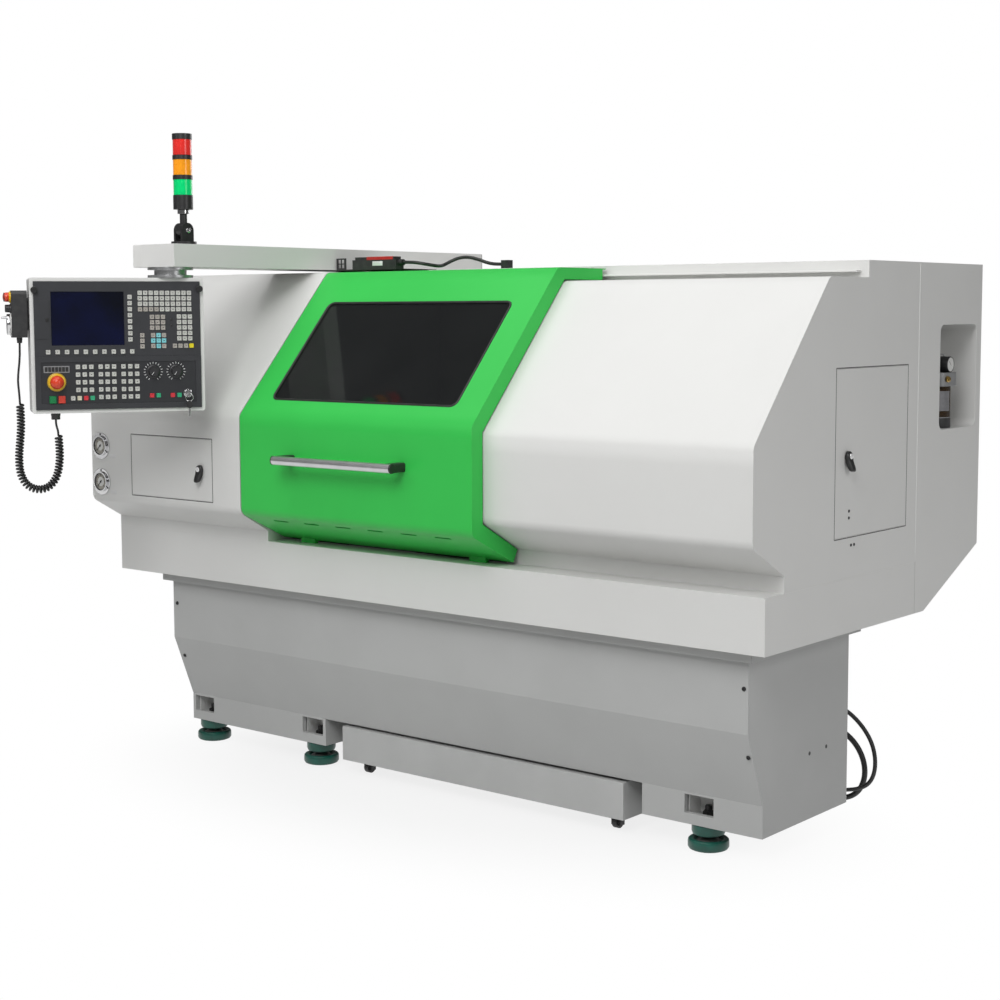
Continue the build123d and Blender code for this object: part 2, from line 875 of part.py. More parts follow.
pieces["headstock_housing"] = headstock_housing.part

# Spindle bearings: one ring in each seat
with BuildPart() as spindle_bearings:
    rod((front_seat_left, bed_middle, axis_height), (1, 0, 0), front_bearing_outside, front_bearing_width)
    rod((front_seat_left, bed_middle, axis_height), (1, 0, 0), front_bearing_bore + 2 * shaft_gap,
        front_bearing_width, Mode.SUBTRACT)
    rod((headstock_left, bed_middle, axis_height), (1, 0, 0), rear_bearing_outside, rear_bearing_width)
    rod((headstock_left, bed_middle, axis_height), (1, 0, 0), rear_bearing_bore + 2 * shaft_gap, rear_bearing_width,
        Mode.SUBTRACT)
pieces["spindle_bearings"] = spindle_bearings.part

# Spindle: a hollow stepped shaft with the chuck's nose at its right end
spindle_axis = Axis((0, bed_middle, axis_height), (1, 0, 0))
spindle_plane = Plane(origin=(0, bed_middle, axis_height), x_dir=(1, 0, 0), z_dir=(0, -1, 0))
with BuildPart() as spindle:
    with BuildSketch(spindle_plane):
        with BuildLine():
            Polyline(
                (spindle_left, spindle_bore / 2),
                (chuck_left, spindle_bore / 2),
                (chuck_left, nose_diameter / 2),
                (headstock_right + nose_clear, nose_diameter / 2),
                (headstock_right + nose_clear, front_bearing_bore / 2),
                (front_seat_left - headstock_wall / 2, front_bearing_bore / 2),
                (front_seat_left - headstock_wall / 2, rear_bearing_bore / 2),
                (headstock_left - nose_clear, rear_bearing_bore / 2),
                (headstock_left - nose_clear, pulley_seat_diameter / 2),
                (spindle_left, pulley_seat_diameter / 2),
                close=True,
            )
        make_face()
    revolve(axis=spindle_axis)
pieces["spindle"] = spindle.part


def grooved_pulley(outside, bore, left):
    """Half section of a grooved pulley, over its axis, from its left face."""
    groove_pitch = pulley_width / (pulley_grooves + 1)
    points = [(left, bore / 2), (left, outside / 2)]
    for groove in range(pulley_grooves):
        middle = left + (groove + 1) * groove_pitch
        points.append((middle - groove_pitch / 3, outside / 2))
        points.append((middle, outside / 2 - pulley_groove_depth))
        points.append((middle + groove_pitch / 3, outside / 2))
    points.append((left + pulley_width, outside / 2))
    points.append((left + pulley_width, bore / 2))
    return closed_outline(points)


# Spindle pulley on the spindle's tail
with BuildPart() as spindle_pulley:
    with BuildSketch(spindle_plane):
        add(grooved_pulley(pulley_diameter, pulley_seat_diameter, spindle_left))
    revolve(axis=spindle_axis)
pieces["spindle_pulley"] = spindle_pulley.part

# Spindle motor behind the headstock, on two feet that stand in the tray
motor_left = spindle_left + pulley_width + motor_pulley_clear
motor_axis = Axis((0, motor_y, motor_z), (1, 0, 0))
motor_plane = Plane(origin=(0, motor_y, motor_z), x_dir=(1, 0, 0), z_dir=(0, -1, 0))
with BuildPart() as spindle_motor:
    with BuildSketch(Plane.YZ.offset(motor_left)):
        with Locations((motor_y, motor_z)):
            RectangleRounded(motor_width, motor_width, motor_corner)
    extrude(amount=motor_length)
    for fin in range(motor_fins):
        fin_y = motor_y + (fin - (motor_fins - 1) / 2) * motor_width / (motor_fins + 2)
        block(
            (motor_left + motor_corner, motor_left + motor_length - motor_corner),
            (fin_y - motor_fin_depth / 2, fin_y + motor_fin_depth / 2),
            (motor_z + motor_width / 2 - motor_fin_depth, motor_z + motor_width / 2 + overrun),
            Mode.SUBTRACT,
        )
    for foot_left in (motor_left + motor_corner, motor_left + motor_length - motor_corner - motor_foot_width):
        block(
            (foot_left, foot_left + motor_foot_width),
            (motor_y - motor_width / 2, motor_y + motor_width / 2),
            (bed_bottom, motor_z - motor_width / 2),
        )
    block(
        (motor_left + motor_length / 3, motor_left + motor_length / 2),
        (motor_y - motor_width / 2 - motor_box_height, motor_y - motor_width / 2),
        (motor_z, motor_z + motor_width / 4),
    )
    rod((spindle_left, motor_y, motor_z), (1, 0, 0), motor_shaft_diameter, motor_left - spindle_left)
pieces["spindle_motor"] = spindle_motor.part

# Motor pulley, free on its shaft by a running gap
with BuildPart() as motor_pulley:
    with BuildSketch(motor_plane):
        add(grooved_pulley(motor_pulley_diameter, motor_shaft_diameter + 2 * shaft_gap, spindle_left))
    revolve(axis=motor_axis)
pieces["motor_pulley"] = motor_pulley.part


def belt_loop(extra):
    """Outline of a belt round both pulleys, with a given height over their rims."""
    with BuildSketch() as loop:
        with Locations((bed_middle, axis_height)):
            Circle(pulley_diameter / 2 + extra)
        with Locations((motor_y, motor_z)):
            Circle(motor_pulley_diameter / 2 + extra)
        make_hull()
    return loop.sketch


# Drive belt: one loop that lies on both pulleys
with BuildPart() as drive_belt:
    with BuildSketch(Plane.YZ.offset(spindle_left + slide_gap)):
        add(belt_loop(slide_gap + belt_thickness))
        add(belt_loop(slide_gap), mode=Mode.SUBTRACT)
    extrude(amount=pulley_width - 2 * slide_gap)
pieces["drive_belt"] = drive_belt.part

# Chuck body: a bored disc with three radial jaw slots
jaw_angles = [90 + 120 * jaw for jaw in range(3)]


def jaw_plane(angle):
    """Plane in the chuck's face, with its x axis out along one jaw."""
    outward = (0, cos(radians(angle)), sin(radians(angle)))
    return Plane(origin=(chuck_right, bed_middle, axis_height), x_dir=outward, z_dir=(1, 0, 0))


with BuildPart() as chuck_body:
    with BuildSketch(spindle_plane):
        with BuildLine():
            Polyline(
                (chuck_left, spindle_bore / 2),
                (chuck_left, chuck_diameter / 2 - chuck_face_step),
                (chuck_left + chuck_face_step, chuck_diameter / 2),
                (chuck_right - chuck_face_step, chuck_diameter / 2),
                (chuck_right, chuck_diameter / 2 - chuck_face_step),
                (chuck_right, spindle_bore / 2),
                close=True,
            )
        make_face()
    revolve(axis=spindle_axis)
    for angle in jaw_angles:
        with BuildSketch(jaw_plane(angle)):
            with Locations((spindle_bore / 4, 0)):
                Rectangle(chuck_diameter, jaw_width, align=(Align.MIN, Align.CENTER))
        extrude(amount=-jaw_slot_depth, mode=Mode.SUBTRACT)
pieces["chuck_body"] = chuck_body.part

# Chuck jaws: a stepped hard jaw in each slot
jaw_points = [
    (jaw_inner_radius, slide_gap - jaw_slot_depth),
    (jaw_inner_radius + jaw_length, slide_gap - jaw_slot_depth),
    (jaw_inner_radius + jaw_length, jaw_step_height),
]
for step in range(1, jaw_steps):
    step_radius = jaw_inner_radius + jaw_length * (1 - step / jaw_steps)
    jaw_points.append((step_radius, step * jaw_step_height))
    jaw_points.append((step_radius, (step + 1) * jaw_step_height))
jaw_points.append((jaw_inner_radius, jaw_steps * jaw_step_height))
for number, angle in enumerate(jaw_angles, start=1):
    face = jaw_plane(angle)
    side = Plane(origin=face.origin, x_dir=face.x_dir, z_dir=face.x_dir.cross(face.z_dir))
    with BuildPart() as chuck_jaw:
        with BuildSketch(side):
            add(closed_outline(jaw_points))
        extrude(amount=jaw_width / 2 - slide_gap, both=True)
    pieces[f"chuck_jaw_{number}"] = chuck_jaw.part

# Saddle: an H-shaped slide on the ways with a dovetail across it and an apron round the ball screw
saddle_bottom = way_height + slide_gap
saddle_top = saddle_bottom + saddle_thickness
saddle_front = bed_front - saddle_overhang
saddle_back = bed_back + saddle_overhang
saddle_span = (saddle_x - saddle_length / 2, saddle_x + saddle_length / 2)
dovetail_lean = dovetail_height / tan(radians(dovetail_angle))
with BuildPart() as saddle:
    block(saddle_span, (saddle_front, saddle_back), (saddle_bottom, saddle_top))
    for side in (-1, 1):
        block(
            (saddle_x + side * saddle_waist, saddle_x + side * saddle_length),
            (bed_front + bed_way_width, bed_back - bed_way_width),
            (saddle_bottom - overrun, saddle_top + overrun),
            Mode.SUBTRACT,
        )
    with BuildSketch(Plane.YZ.offset(saddle_span[0])):
        add(closed_outline([
            (vee_middle - vee_width / 2 - 2 * slide_gap, saddle_bottom),
            (vee_middle + vee_width / 2 + 2 * slide_gap, saddle_bottom),
            (vee_middle, way_height + vee_height + 2 * slide_gap),
        ]))
    extrude(amount=saddle_length, mode=Mode.SUBTRACT)
    block(
        (saddle_x - saddle_waist, saddle_x + saddle_waist),
        (screw_y - apron_thickness / 2, screw_y + apron_thickness / 2 - slide_gap),
        (saddle_bottom - apron_drop, saddle_bottom),
    )
    rod((saddle_x - saddle_length, screw_y, screw_z), (1, 0, 0), screw_diameter + 2 * shaft_gap, 2 * saddle_length,
        Mode.SUBTRACT)
    with BuildSketch(Plane.XZ.offset(-saddle_front)):
        with Locations((saddle_x, saddle_top)):
            add(closed_outline([
                (dovetail_lean - dovetail_width / 2, 0),
                (dovetail_width / 2 - dovetail_lean, 0),
                (dovetail_width / 2, dovetail_height),
                (-dovetail_width / 2, dovetail_height),
            ]))
    extrude(amount=saddle_front - saddle_back)
pieces["saddle"] = saddle.part

# Cross slide: a plate with a dovetail groove below and two slots above
slide_bottom = saddle_top + slide_gap
slide_top = slide_bottom + cross_slide_thickness
with BuildPart() as cross_slide:
    block(
        (saddle_x - cross_slide_width / 2, saddle_x + cross_slide_width / 2),
        (cross_slide_y - cross_slide_length / 2, cross_slide_y + cross_slide_length / 2),
        (slide_bottom, slide_top),
    )
    with BuildSketch(Plane.XZ.offset(cross_slide_length - cross_slide_y)):
        with Locations((saddle_x, saddle_top)):
            add(closed_outline([
                (dovetail_lean - dovetail_width / 2 - 2 * slide_gap, 0),
                (dovetail_width / 2 - dovetail_lean + 2 * slide_gap, 0),
                (dovetail_width / 2 + 2 * slide_gap, dovetail_height + slide_gap),
                (-dovetail_width / 2 - 2 * slide_gap, dovetail_height + slide_gap),
            ]))
    extrude(amount=-2 * cross_slide_length, mode=Mode.SUBTRACT)
    for side in (-1, 1):
        slot_x = saddle_x + side * cross_slide_width / 3
        block(
            (slot_x - slide_slot_width / 2, slot_x + slide_slot_width / 2),
            (cross_slide_y - cross_slide_length, cross_slide_y + cross_slide_length),
            (slide_top - slide_slot_depth, slide_top + overrun),
            Mode.SUBTRACT,
        )
    rod((saddle_x, turret_y, slide_top), (0, 0, 1), turret_base_diameter, turret_base_height)
pieces["cross_slide"] = cross_slide.part

# Tool turret: a square indexing head with a shank clamped along each side
turret_bottom = slide_top + turret_base_height + slide_gap
tool_bottom = axis_height - tool_shank
tool_planes = []
for quarter in range(4):
    turn = radians(90 * quarter)
    outward = Vector(sin(turn), -cos(turn), 0) * (turret_width / 2 - tool_shank / 2)
    tool_origin = Vector(saddle_x, turret_y, tool_bottom) + outward
    tool_planes.append(Plane(origin=tool_origin, x_dir=(cos(turn), sin(turn), 0), z_dir=(0, 0, 1)))
with BuildPart() as tool_turret:
    with BuildSketch(Plane.XY.offset(turret_bottom)):
        with Locations((saddle_x, turret_y)):
            RectangleRounded(turret_width, turret_width, turret_width / 12)
    extrude(amount=turret_height)
    rod((saddle_x, turret_y, turret_bottom + turret_height), (0, 0, 1), turret_cap_diameter, turret_cap_height)
    for tool_plane in tool_planes:
        with Locations(tool_plane):
            Box(
                turret_width + 2 * overrun,
                tool_shank,
                tool_shank + slide_gap,
                align=(Align.CENTER, Align.CENTER, Align.MIN),
                mode=Mode.SUBTRACT,
            )
    for tool_plane in tool_planes:
        with Locations(tool_plane):
            with Locations((turret_width / 2 + tool_reach, 0)):
                Box(tool_length, tool_shank, tool_shank, align=(Align.MAX, Align.CENTER, Align.MIN))
pieces["tool_turret"] = tool_turret.part

# Longitudinal ball screw
screw_left = chuck_right + screw_block
screw_right = x_right - screw_right_inset
with BuildPart() as z_screw:
    rod((screw_left, screw_y, screw_z), (1, 0, 0), screw_diameter, screw_right - screw_left)
pieces["z_screw"] = z_screw.part

# Screw drive: a bearing block at each end, bolted to the bed's web, and the servo motor
with BuildPart() as z_screw_drive:
    for block_left in (screw_left, screw_right - screw_block):
        block(
            (block_left, block_left + screw_block),
            (screw_y - screw_block_width / 2, web_front),
            (screw_z - screw_block_width / 2, screw_z + screw_block_width / 2),
        )
    rod((screw_left - overrun, screw_y, screw_z), (1, 0, 0), screw_diameter + 2 * shaft_gap,
        screw_right - screw_left + overrun, Mode.SUBTRACT)
    with BuildSketch(Plane.YZ.offset(screw_right)):
        with Locations((screw_y, screw_z)):
            RectangleRounded(servo_width, servo_width, servo_width / 8)
    extrude(amount=servo_length)
pieces["z_screw_drive"] = z_screw_drive.part

# Tailstock: a waisted casting that carries the quill on the spindle's axis
tailstock_left = tailstock_x - tailstock_length / 2
tailstock_right = tailstock_x + tailstock_length / 2
with BuildPart() as tailstock_body:
    with BuildSketch(Plane.YZ.offset(tailstock_left)):
        add(closed_outline([
            (bed_middle - tailstock_foot_width / 2, way_height + slide_gap),
            (bed_middle + tailstock_foot_width / 2, way_height + slide_gap),
            (bed_middle + tailstock_foot_width / 2, way_height + tailstock_foot_height),
            (bed_middle + tailstock_neck / 2, axis_height - barrel_diameter / 3),
            (bed_middle - tailstock_neck / 2, axis_height - barrel_diameter / 3),
            (bed_middle - tailstock_foot_width / 2, way_height + tailstock_foot_height),
        ]))
        with Locations((bed_middle, axis_height)):
            Circle(barrel_diameter / 2)
    extrude(amount=tailstock_length)
    with BuildSketch(Plane.YZ.offset(tailstock_left - overrun)):
        add(closed_outline([
            (vee_middle - vee_width / 2 - 2 * slide_gap, way_height),
            (vee_middle + vee_width / 2 + 2 * slide_gap, way_height),
            (vee_middle, way_height + vee_height + 2 * slide_gap),
        ]))
    extrude(amount=tailstock_length + 2 * overrun, mode=Mode.SUBTRACT)
    rod((tailstock_left - overrun, bed_middle, axis_height), (1, 0, 0), quill_diameter + 2 * shaft_gap,
        tailstock_length + 2 * overrun, Mode.SUBTRACT)
pieces["tailstock_body"] = tailstock_body.part

# Quill with its live centre
with BuildPart() as quill:
    with BuildSketch(spindle_plane):
        with BuildLine():
            Polyline(
                (tailstock_left - quill_reach - centre_length, 0),
                (tailstock_left - quill_reach - centre_length / 3, centre_diameter / 2),
                (tailstock_left - quill_reach, centre_diameter / 2),
                (tailstock_left - quill_reach, quill_diameter / 2),
                (tailstock_right - quill_reach, quill_diameter / 2),
                (tailstock_right - quill_reach, 0),
                close=True,
            )
        make_face()
    revolve(axis=spindle_axis)
pieces["quill"] = quill.part

# Tailstock handwheel: a plain rim on three spokes, with a hub in the barrel and a crank handle
wheel_left = tailstock_right + slide_gap
rim_radius = wheel_diameter / 2 - wheel_rim / 2
with BuildPart() as tailstock_handwheel:
    with BuildSketch(Plane.YZ.offset(wheel_left)):
        with Locations((bed_middle, axis_height)):
            Circle(wheel_diameter / 2)
            Circle(wheel_diameter / 2 - wheel_rim, mode=Mode.SUBTRACT)
            Circle(wheel_hub / 2)
            with PolarLocations(0, 3):
                Rectangle(rim_radius, wheel_spoke, align=(Align.MIN, Align.CENTER))
    extrude(amount=wheel_width)
    rod((wheel_left + wheel_width, bed_middle, axis_height + rim_radius), (1, 0, 0), crank_diameter, crank_length)
    rod((wheel_left - quill_reach / 2, bed_middle, axis_height), (1, 0, 0), centre_diameter / 2, quill_reach / 2)
pieces["tailstock_handwheel"] = tailstock_handwheel.part

# Headstock cover: a bent sheet shell with end walls, open below and behind
cover_slant_y = cover_front + (cover_top - cover_bend_height) * slant_run / slant_rise
cover_outline = [
    (0, tray_top),
    (0, cover_foot_height),
    (cover_front, cover_fold_height),
    (cover_front, cover_bend_height),
    (cover_slant_y, cover_top),
    (roof_front, cover_top),
    (roof_front, tray_top),
]
front_hatch_x = x_left + front_hatch_left
front_latch_x = front_hatch_x + front_hatch_length - front_latch_inset
front_latch_z = (front_hatch_bottom + front_hatch_top) / 2
gauge_x = x_left + gauge_left_inset
with BuildPart() as headstock_cover:
    with BuildSketch(Plane.YZ.offset(x_left)):
        add(closed_outline(cover_outline))
    extrude(amount=headstock_cover_length)
    long_edges = headstock_cover.edges().filter_by(Axis.X)
    fillet(long_edges.filter_by_position(Axis.Z, cover_fold_height, cover_top).group_by(Axis.Y)[0], bend_radius)
    fillet(headstock_cover.edges().filter_by(Axis.X).group_by(Axis.Z)[-1].sort_by(Axis.Y)[0], bend_radius)
    open_faces = headstock_cover.faces().group_by(Axis.Z)[0] + headstock_cover.faces().group_by(Axis.Y)[-1]
    offset(amount=-sheet, openings=open_faces)
    for wall_left in (x_left, partition_x - sheet):
        block((wall_left, wall_left + sheet), (roof_front, cabinet_front), (tray_top, tail_top))
        block((wall_left, wall_left + sheet), (roof_front + sheet, cabinet_front), (tail_top, roof_height - sheet))
    rod((partition_x - sheet - overrun, bed_middle, axis_height), (1, 0, 0), spindle_hole_diameter,
        sheet + 2 * overrun, Mode.SUBTRACT)
    block(
        (front_hatch_x, front_hatch_x + front_hatch_length),
        (cover_front - overrun, cover_front + sheet + overrun),
        (front_hatch_bottom, front_hatch_top),
        Mode.SUBTRACT,
    )
    block(
        (partition_x - sheet - overrun, partition_x + overrun),
        (saddle_front - overrun, bed_back + saddle_overhang),
        (tray_top - overrun, way_height + vee_height + overrun),
        Mode.SUBTRACT,
    )
    for gauge_z in gauge_heights:
        rod((gauge_x, cover_front + sheet + overrun, gauge_z), (0, -1, 0), gauge_case_diameter + panel_gap,
            sheet + 2 * overrun, Mode.SUBTRACT)
pieces["headstock_cover"] = headstock_cover.part

# Front access door: a flush plate hinged at its left edge
with BuildPart() as front_access_door:
    block(
        (front_hatch_x + panel_gap, front_hatch_x + front_hatch_length - panel_gap),
        (cover_front, cover_front + sheet),
        (front_hatch_bottom + panel_gap, front_hatch_top - panel_gap),
    )
    rod((front_latch_x, cover_front + sheet + overrun, front_latch_z), (0, -1, 0), latch_body_diameter + 2 * shaft_gap,
        sheet + 2 * overrun, Mode.SUBTRACT)
pieces["front_access_door"] = front_access_door.part


def quarter_turn_latch(centre, outward, cam_direction):
    """A collar and thumb grip outside the panel, a body through it and a cam behind its edge."""
    face = Plane(origin=centre, x_dir=cam_direction, z_dir=outward)
    cam_back = face.offset(-sheet - latch_cam_thickness - slide_gap)
    with BuildPart() as latch:
        rod(face.origin, outward, latch_diameter, latch_collar)
        with BuildSketch(face.offset(latch_collar)):
            RectangleRounded(latch_diameter - latch_collar, latch_knob_width, latch_knob_width / 3)
        extrude(amount=latch_knob_height)
        rod(cam_back.origin, outward, latch_body_diameter, sheet + latch_cam_thickness + slide_gap)
        with BuildSketch(cam_back):
            with Locations((-latch_body_diameter / 2, 0)):
                Rectangle(latch_cam_length + latch_body_diameter / 2, latch_cam_width, align=(Align.MIN, Align.CENTER))
        extrude(amount=latch_cam_thickness)
    return latch.part


pieces["front_door_latch"] = quarter_turn_latch(
    (front_latch_x, cover_front, front_latch_z), Vector(0, -1, 0), Vector(1, 0, 0))

# Pressure gauges: flanged cases set in the cover, with a recessed dial and a stem behind
with BuildPart() as pressure_gauges:
    for gauge_z in gauge_heights:
        front = (gauge_x, cover_front, gauge_z)
        rod(front, (0, -1, 0), gauge_flange_diameter, gauge_flange_thickness)
        rod(front, (0, -1, 0), gauge_case_diameter, gauge_bezel)
        rod(front, (0, 1, 0), gauge_case_diameter - panel_gap, gauge_body_length)
        rod((gauge_x, cover_front + gauge_body_length, gauge_z), (0, 1, 0), gauge_stem_diameter, gauge_stem_length)
        rod((gauge_x, cover_front - gauge_bezel + gauge_dial_recess, gauge_z), (0, -1, 0), gauge_dial_diameter,
            gauge_dial_recess + overrun, Mode.SUBTRACT)
pieces["pressure_gauges"] = pressure_gauges.part

# Tail cover: the same form set back, so that the door can slide over it
tail_outline = [
    (tail_foot_y, tray_top),
    (tail_foot_y, tail_foot_height),
    (tail_front, tail_fold_height),
    (tail_front, tail_bend_height),
    (tail_front + (tail_top - tail_bend_height) * slant_run / slant_rise, tail_top),
    (roof_front, tail_top),
    (roof_front, tray_top),
]
end_latch_y = end_hatch_front + end_latch_inset
with BuildPart() as tail_cover:
    with BuildSketch(Plane.YZ.offset(tail_left)):
        add(closed_outline(tail_outline))
    extrude(amount=x_right - tail_left)
    long_edges = tail_cover.edges().filter_by(Axis.X)
    fillet(long_edges.filter_by_position(Axis.Z, tail_fold_height, tail_top).group_by(Axis.Y)[0], bend_radius)
    fillet(tail_cover.edges().filter_by(Axis.X).group_by(Axis.Z)[-1].sort_by(Axis.Y)[0], bend_radius)
    open_faces = tail_cover.faces().group_by(Axis.Z)[0] + tail_cover.faces().group_by(Axis.Y)[-1]
    offset(amount=-sheet, openings=open_faces + tail_cover.faces().group_by(Axis.X)[0])
    block((x_right - sheet, x_right), (roof_front, cabinet_front), (tray_top, tail_top))
    block((x_right - sheet, x_right), (roof_front + sheet, cabinet_front), (tail_top, roof_height - sheet))
    block(
        (x_right - sheet - overrun, x_right + overrun),
        (end_hatch_front, end_hatch_back),
        (end_hatch_bottom, end_hatch_top),
        Mode.SUBTRACT,
    )
pieces["tail_cover"] = tail_cover.part

# End access door: a flush plate hinged at its back edge
with BuildPart() as end_access_door:
    block(
        (x_right - sheet, x_right),
        (end_hatch_front + panel_gap, end_hatch_back - panel_gap),
        (end_hatch_bottom + panel_gap, end_hatch_top - panel_gap),
    )
    rod((x_right - sheet - overrun, end_latch_y, end_latch_height), (1, 0, 0), latch_body_diameter + 2 * shaft_gap,
        sheet + 2 * overrun, Mode.SUBTRACT)
pieces["end_access_door"] = end_access_door.part
pieces["end_door_latch"] = quarter_turn_latch(
    (x_right, end_latch_y, end_latch_height), Vector(1, 0, 0), Vector(0, -1, 0))

# Sliding door: a bent sheet with a flange round its ends, a window and slots under the fold
door_outline = [
    (door_foot_y, door_foot_height),
    (cover_front, cover_fold_height),
    (cover_front, cover_bend_height),
    (cover_slant_y, cover_top),
    (door_back, cover_top),
]
slant_length = sqrt((cover_top - cover_bend_height) ** 2 + (cover_slant_y - cover_front) ** 2)
slant_up = Vector(0, cover_slant_y - cover_front, cover_top - cover_bend_height).normalized()
slant_out = Vector(0, -slant_up.Z, slant_up.Y)
door_middle = (door_left + door_right) / 2
window_middle = window_low_share * slant_length + window_height / 2
window_centre = Vector(door_middle, cover_front, cover_bend_height) + slant_up * window_middle
window_plane = Plane(origin=window_centre, x_dir=(1, 0, 0), z_dir=slant_out)
fold_in = Vector(0, door_foot_y - cover_front, door_foot_height - cover_fold_height).normalized()
slot_plane = Plane(
    origin=Vector(door_middle, cover_front, cover_fold_height) + fold_in * slot_from_fold,
    x_dir=(1, 0, 0),
    z_dir=(0, fold_in.Z, -fold_in.Y),
)
with BuildSketch() as tail_shadow:
    add(closed_outline(tail_outline))
    offset(amount=door_flange_gap, kind=Kind.INTERSECTION)
with BuildPart() as door_panel:
    with BuildSketch(Plane.YZ.offset(door_left)):
        add(closed_outline(door_outline))
    extrude(amount=door_right - door_left)
    fillet(door_panel.edges().filter_by(Axis.X).group_by(Axis.Y)[0], bend_radius)
    fillet(door_panel.edges().filter_by(Axis.X).group_by(Axis.Z)[-1].sort_by(Axis.Y)[0], bend_radius)
    left_face = door_panel.faces().group_by(Axis.X)[0]
    inner_face = door_panel.faces().filter_by(GeomType.PLANE).sort_by(Axis.Y)
    closing = max(inner_face, key=lambda face: face.normal_at().Y - abs(face.normal_at().X))
    offset(amount=-sheet, openings=left_face + [closing])
    with BuildSketch(Plane.YZ.offset(door_right + overrun)):
        add(tail_shadow.sketch)
    extrude(amount=-sheet - 2 * overrun, mode=Mode.SUBTRACT)
    block(
        (door_right - sheet - overrun, door_right + overrun),
        (roof_front - rail_depth - door_flange_gap, roof_front),
        (tail_top - overrun, cover_top - sheet),
        Mode.SUBTRACT,
    )
    with BuildSketch(window_plane):
        RectangleRounded(window_width, window_height, window_radius)
    extrude(amount=-sheet - overrun, mode=Mode.SUBTRACT)
    with BuildSketch(slot_plane):
        with GridLocations(slot_pitch, 0, slot_count, 1):
            SlotOverall(slot_length, slot_width)
    extrude(amount=-sheet - overrun, mode=Mode.SUBTRACT)
    for runner_left in (door_left + runner_inset, door_right - runner_inset - runner_length):
        runner_span = (runner_left, runner_left + runner_length)
        block(
            runner_span,
            (door_foot_y - runner_width, door_foot_y),
            (tray_top + slide_gap, door_foot_height + runner_width / 2),
        )
        block(
            runner_span,
            (door_back - runner_width, door_back),
            (rail_height + rail_thickness + slide_gap, cover_top - sheet),
        )
pieces["door_panel"] = door_panel.part

# Door window: a tinted pane behind the door's sheet
with BuildPart() as door_window:
    with BuildSketch(window_plane.offset(-sheet)):
        RectangleRounded(window_width + 2 * window_lap, window_height + 2 * window_lap, window_radius)
    extrude(amount=-window_thickness)
pieces["door_window"] = door_window.part

# Door handle: a tube carried by two leaning brackets
handle_left = door_left + handle_left_inset
handle_y = cover_front - handle_standoff
with BuildPart() as door_handle:
    rod((handle_left, handle_y, handle_height), (1, 0, 0), handle_diameter, handle_length)
    rod((handle_left, handle_y, handle_height), (1, 0, 0), handle_diameter - 2 * sheet, handle_length,
        Mode.SUBTRACT)
pieces["door_handle"] = door_handle.part

with BuildPart() as handle_brackets:
    for end, side in ((handle_left, -1), (handle_left + handle_length, 1)):
        with BuildSketch(Plane.YZ.offset(end)):
            with BuildLine():
                Polyline(
                    (cover_front, handle_height - bracket_height - bracket_lean),
                    (cover_front, handle_height - bracket_lean),
                    (handle_y, handle_height + handle_diameter / 2),
                    (handle_y - handle_diameter / 2, handle_height),
                    (handle_y, handle_height - handle_diameter / 2),
                    close=True,
                )
            make_face()
        extrude(amount=side * bracket_width)
pieces["handle_brackets"] = handle_brackets.part

# Rear cabinet: a closed sheet box with the roof, the door's rail, louvres and a recess in its right end
louvre_columns = (x_left * louvre_column_share, x_right * louvre_column_share)
with BuildPart() as rear_cabinet:
    with BuildSketch(Plane.YZ.offset(x_left)):
        add(closed_outline([
            (cabinet_front, tray_bottom),
            (cabinet_front, roof_height),
            (cabinet_back, roof_height),
            (cabinet_back, cabinet_back_bottom),
            (cabinet_slope_foot, tray_bottom),
        ]))
    extrude(amount=tray_length)
    offset(amount=-sheet, openings=rear_cabinet.faces().group_by(Axis.Z)[0])
    block((x_left, x_right), (roof_front, cabinet_front + sheet), (roof_height - sheet, roof_height))
    block((x_left, x_right), (roof_front, roof_front + sheet), (tail_top, roof_height))
    block(
        (door_left, x_right - rail_depth),
        (roof_front - rail_depth, roof_front),
        (rail_height, rail_height + rail_thickness),
    )
    block(
        (x_right - recess_depth - sheet, x_right),
        (recess_front - sheet, recess_back + sheet),
        (recess_bottom - sheet, recess_top + sheet),
    )
    with BuildSketch(Plane.YZ.offset(x_right)):
        with Locations(((recess_front + recess_back) / 2, (recess_bottom + recess_top) / 2)):
            RectangleRounded(recess_back - recess_front, recess_top - recess_bottom, recess_radius)
    extrude(amount=-recess_depth, mode=Mode.SUBTRACT)
    for column in louvre_columns:
        with BuildSketch(Plane(origin=(column, cabinet_back, louvre_height), x_dir=(1, 0, 0), z_dir=(0, -1, 0))):
            with GridLocations(0, louvre_pitch, 1, louvre_rows):
                SlotOverall(louvre_length, louvre_width)
        extrude(amount=sheet + overrun, both=True, mode=Mode.SUBTRACT)
pieces["rear_cabinet"] = rear_cabinet.part

# Lubricator: base, clear reservoir, pump head with a gauge, a fitting and a wire bail
lube_x = x_right - lube_x_inset
lube_glass_bottom = recess_bottom + lube_base_height
lube_head_bottom = lube_glass_bottom + lube_glass_height
lube_head_top = lube_head_bottom + lube_head_height
bail_top = lube_head_top + lube_bail_height - lube_bail_wire
with BuildPart() as lube_reservoir:
    rod((lube_x, lube_y, lube_glass_bottom), (0, 0, 1), lube_reservoir_diameter, lube_glass_height)
pieces["lube_reservoir"] = lube_reservoir.part

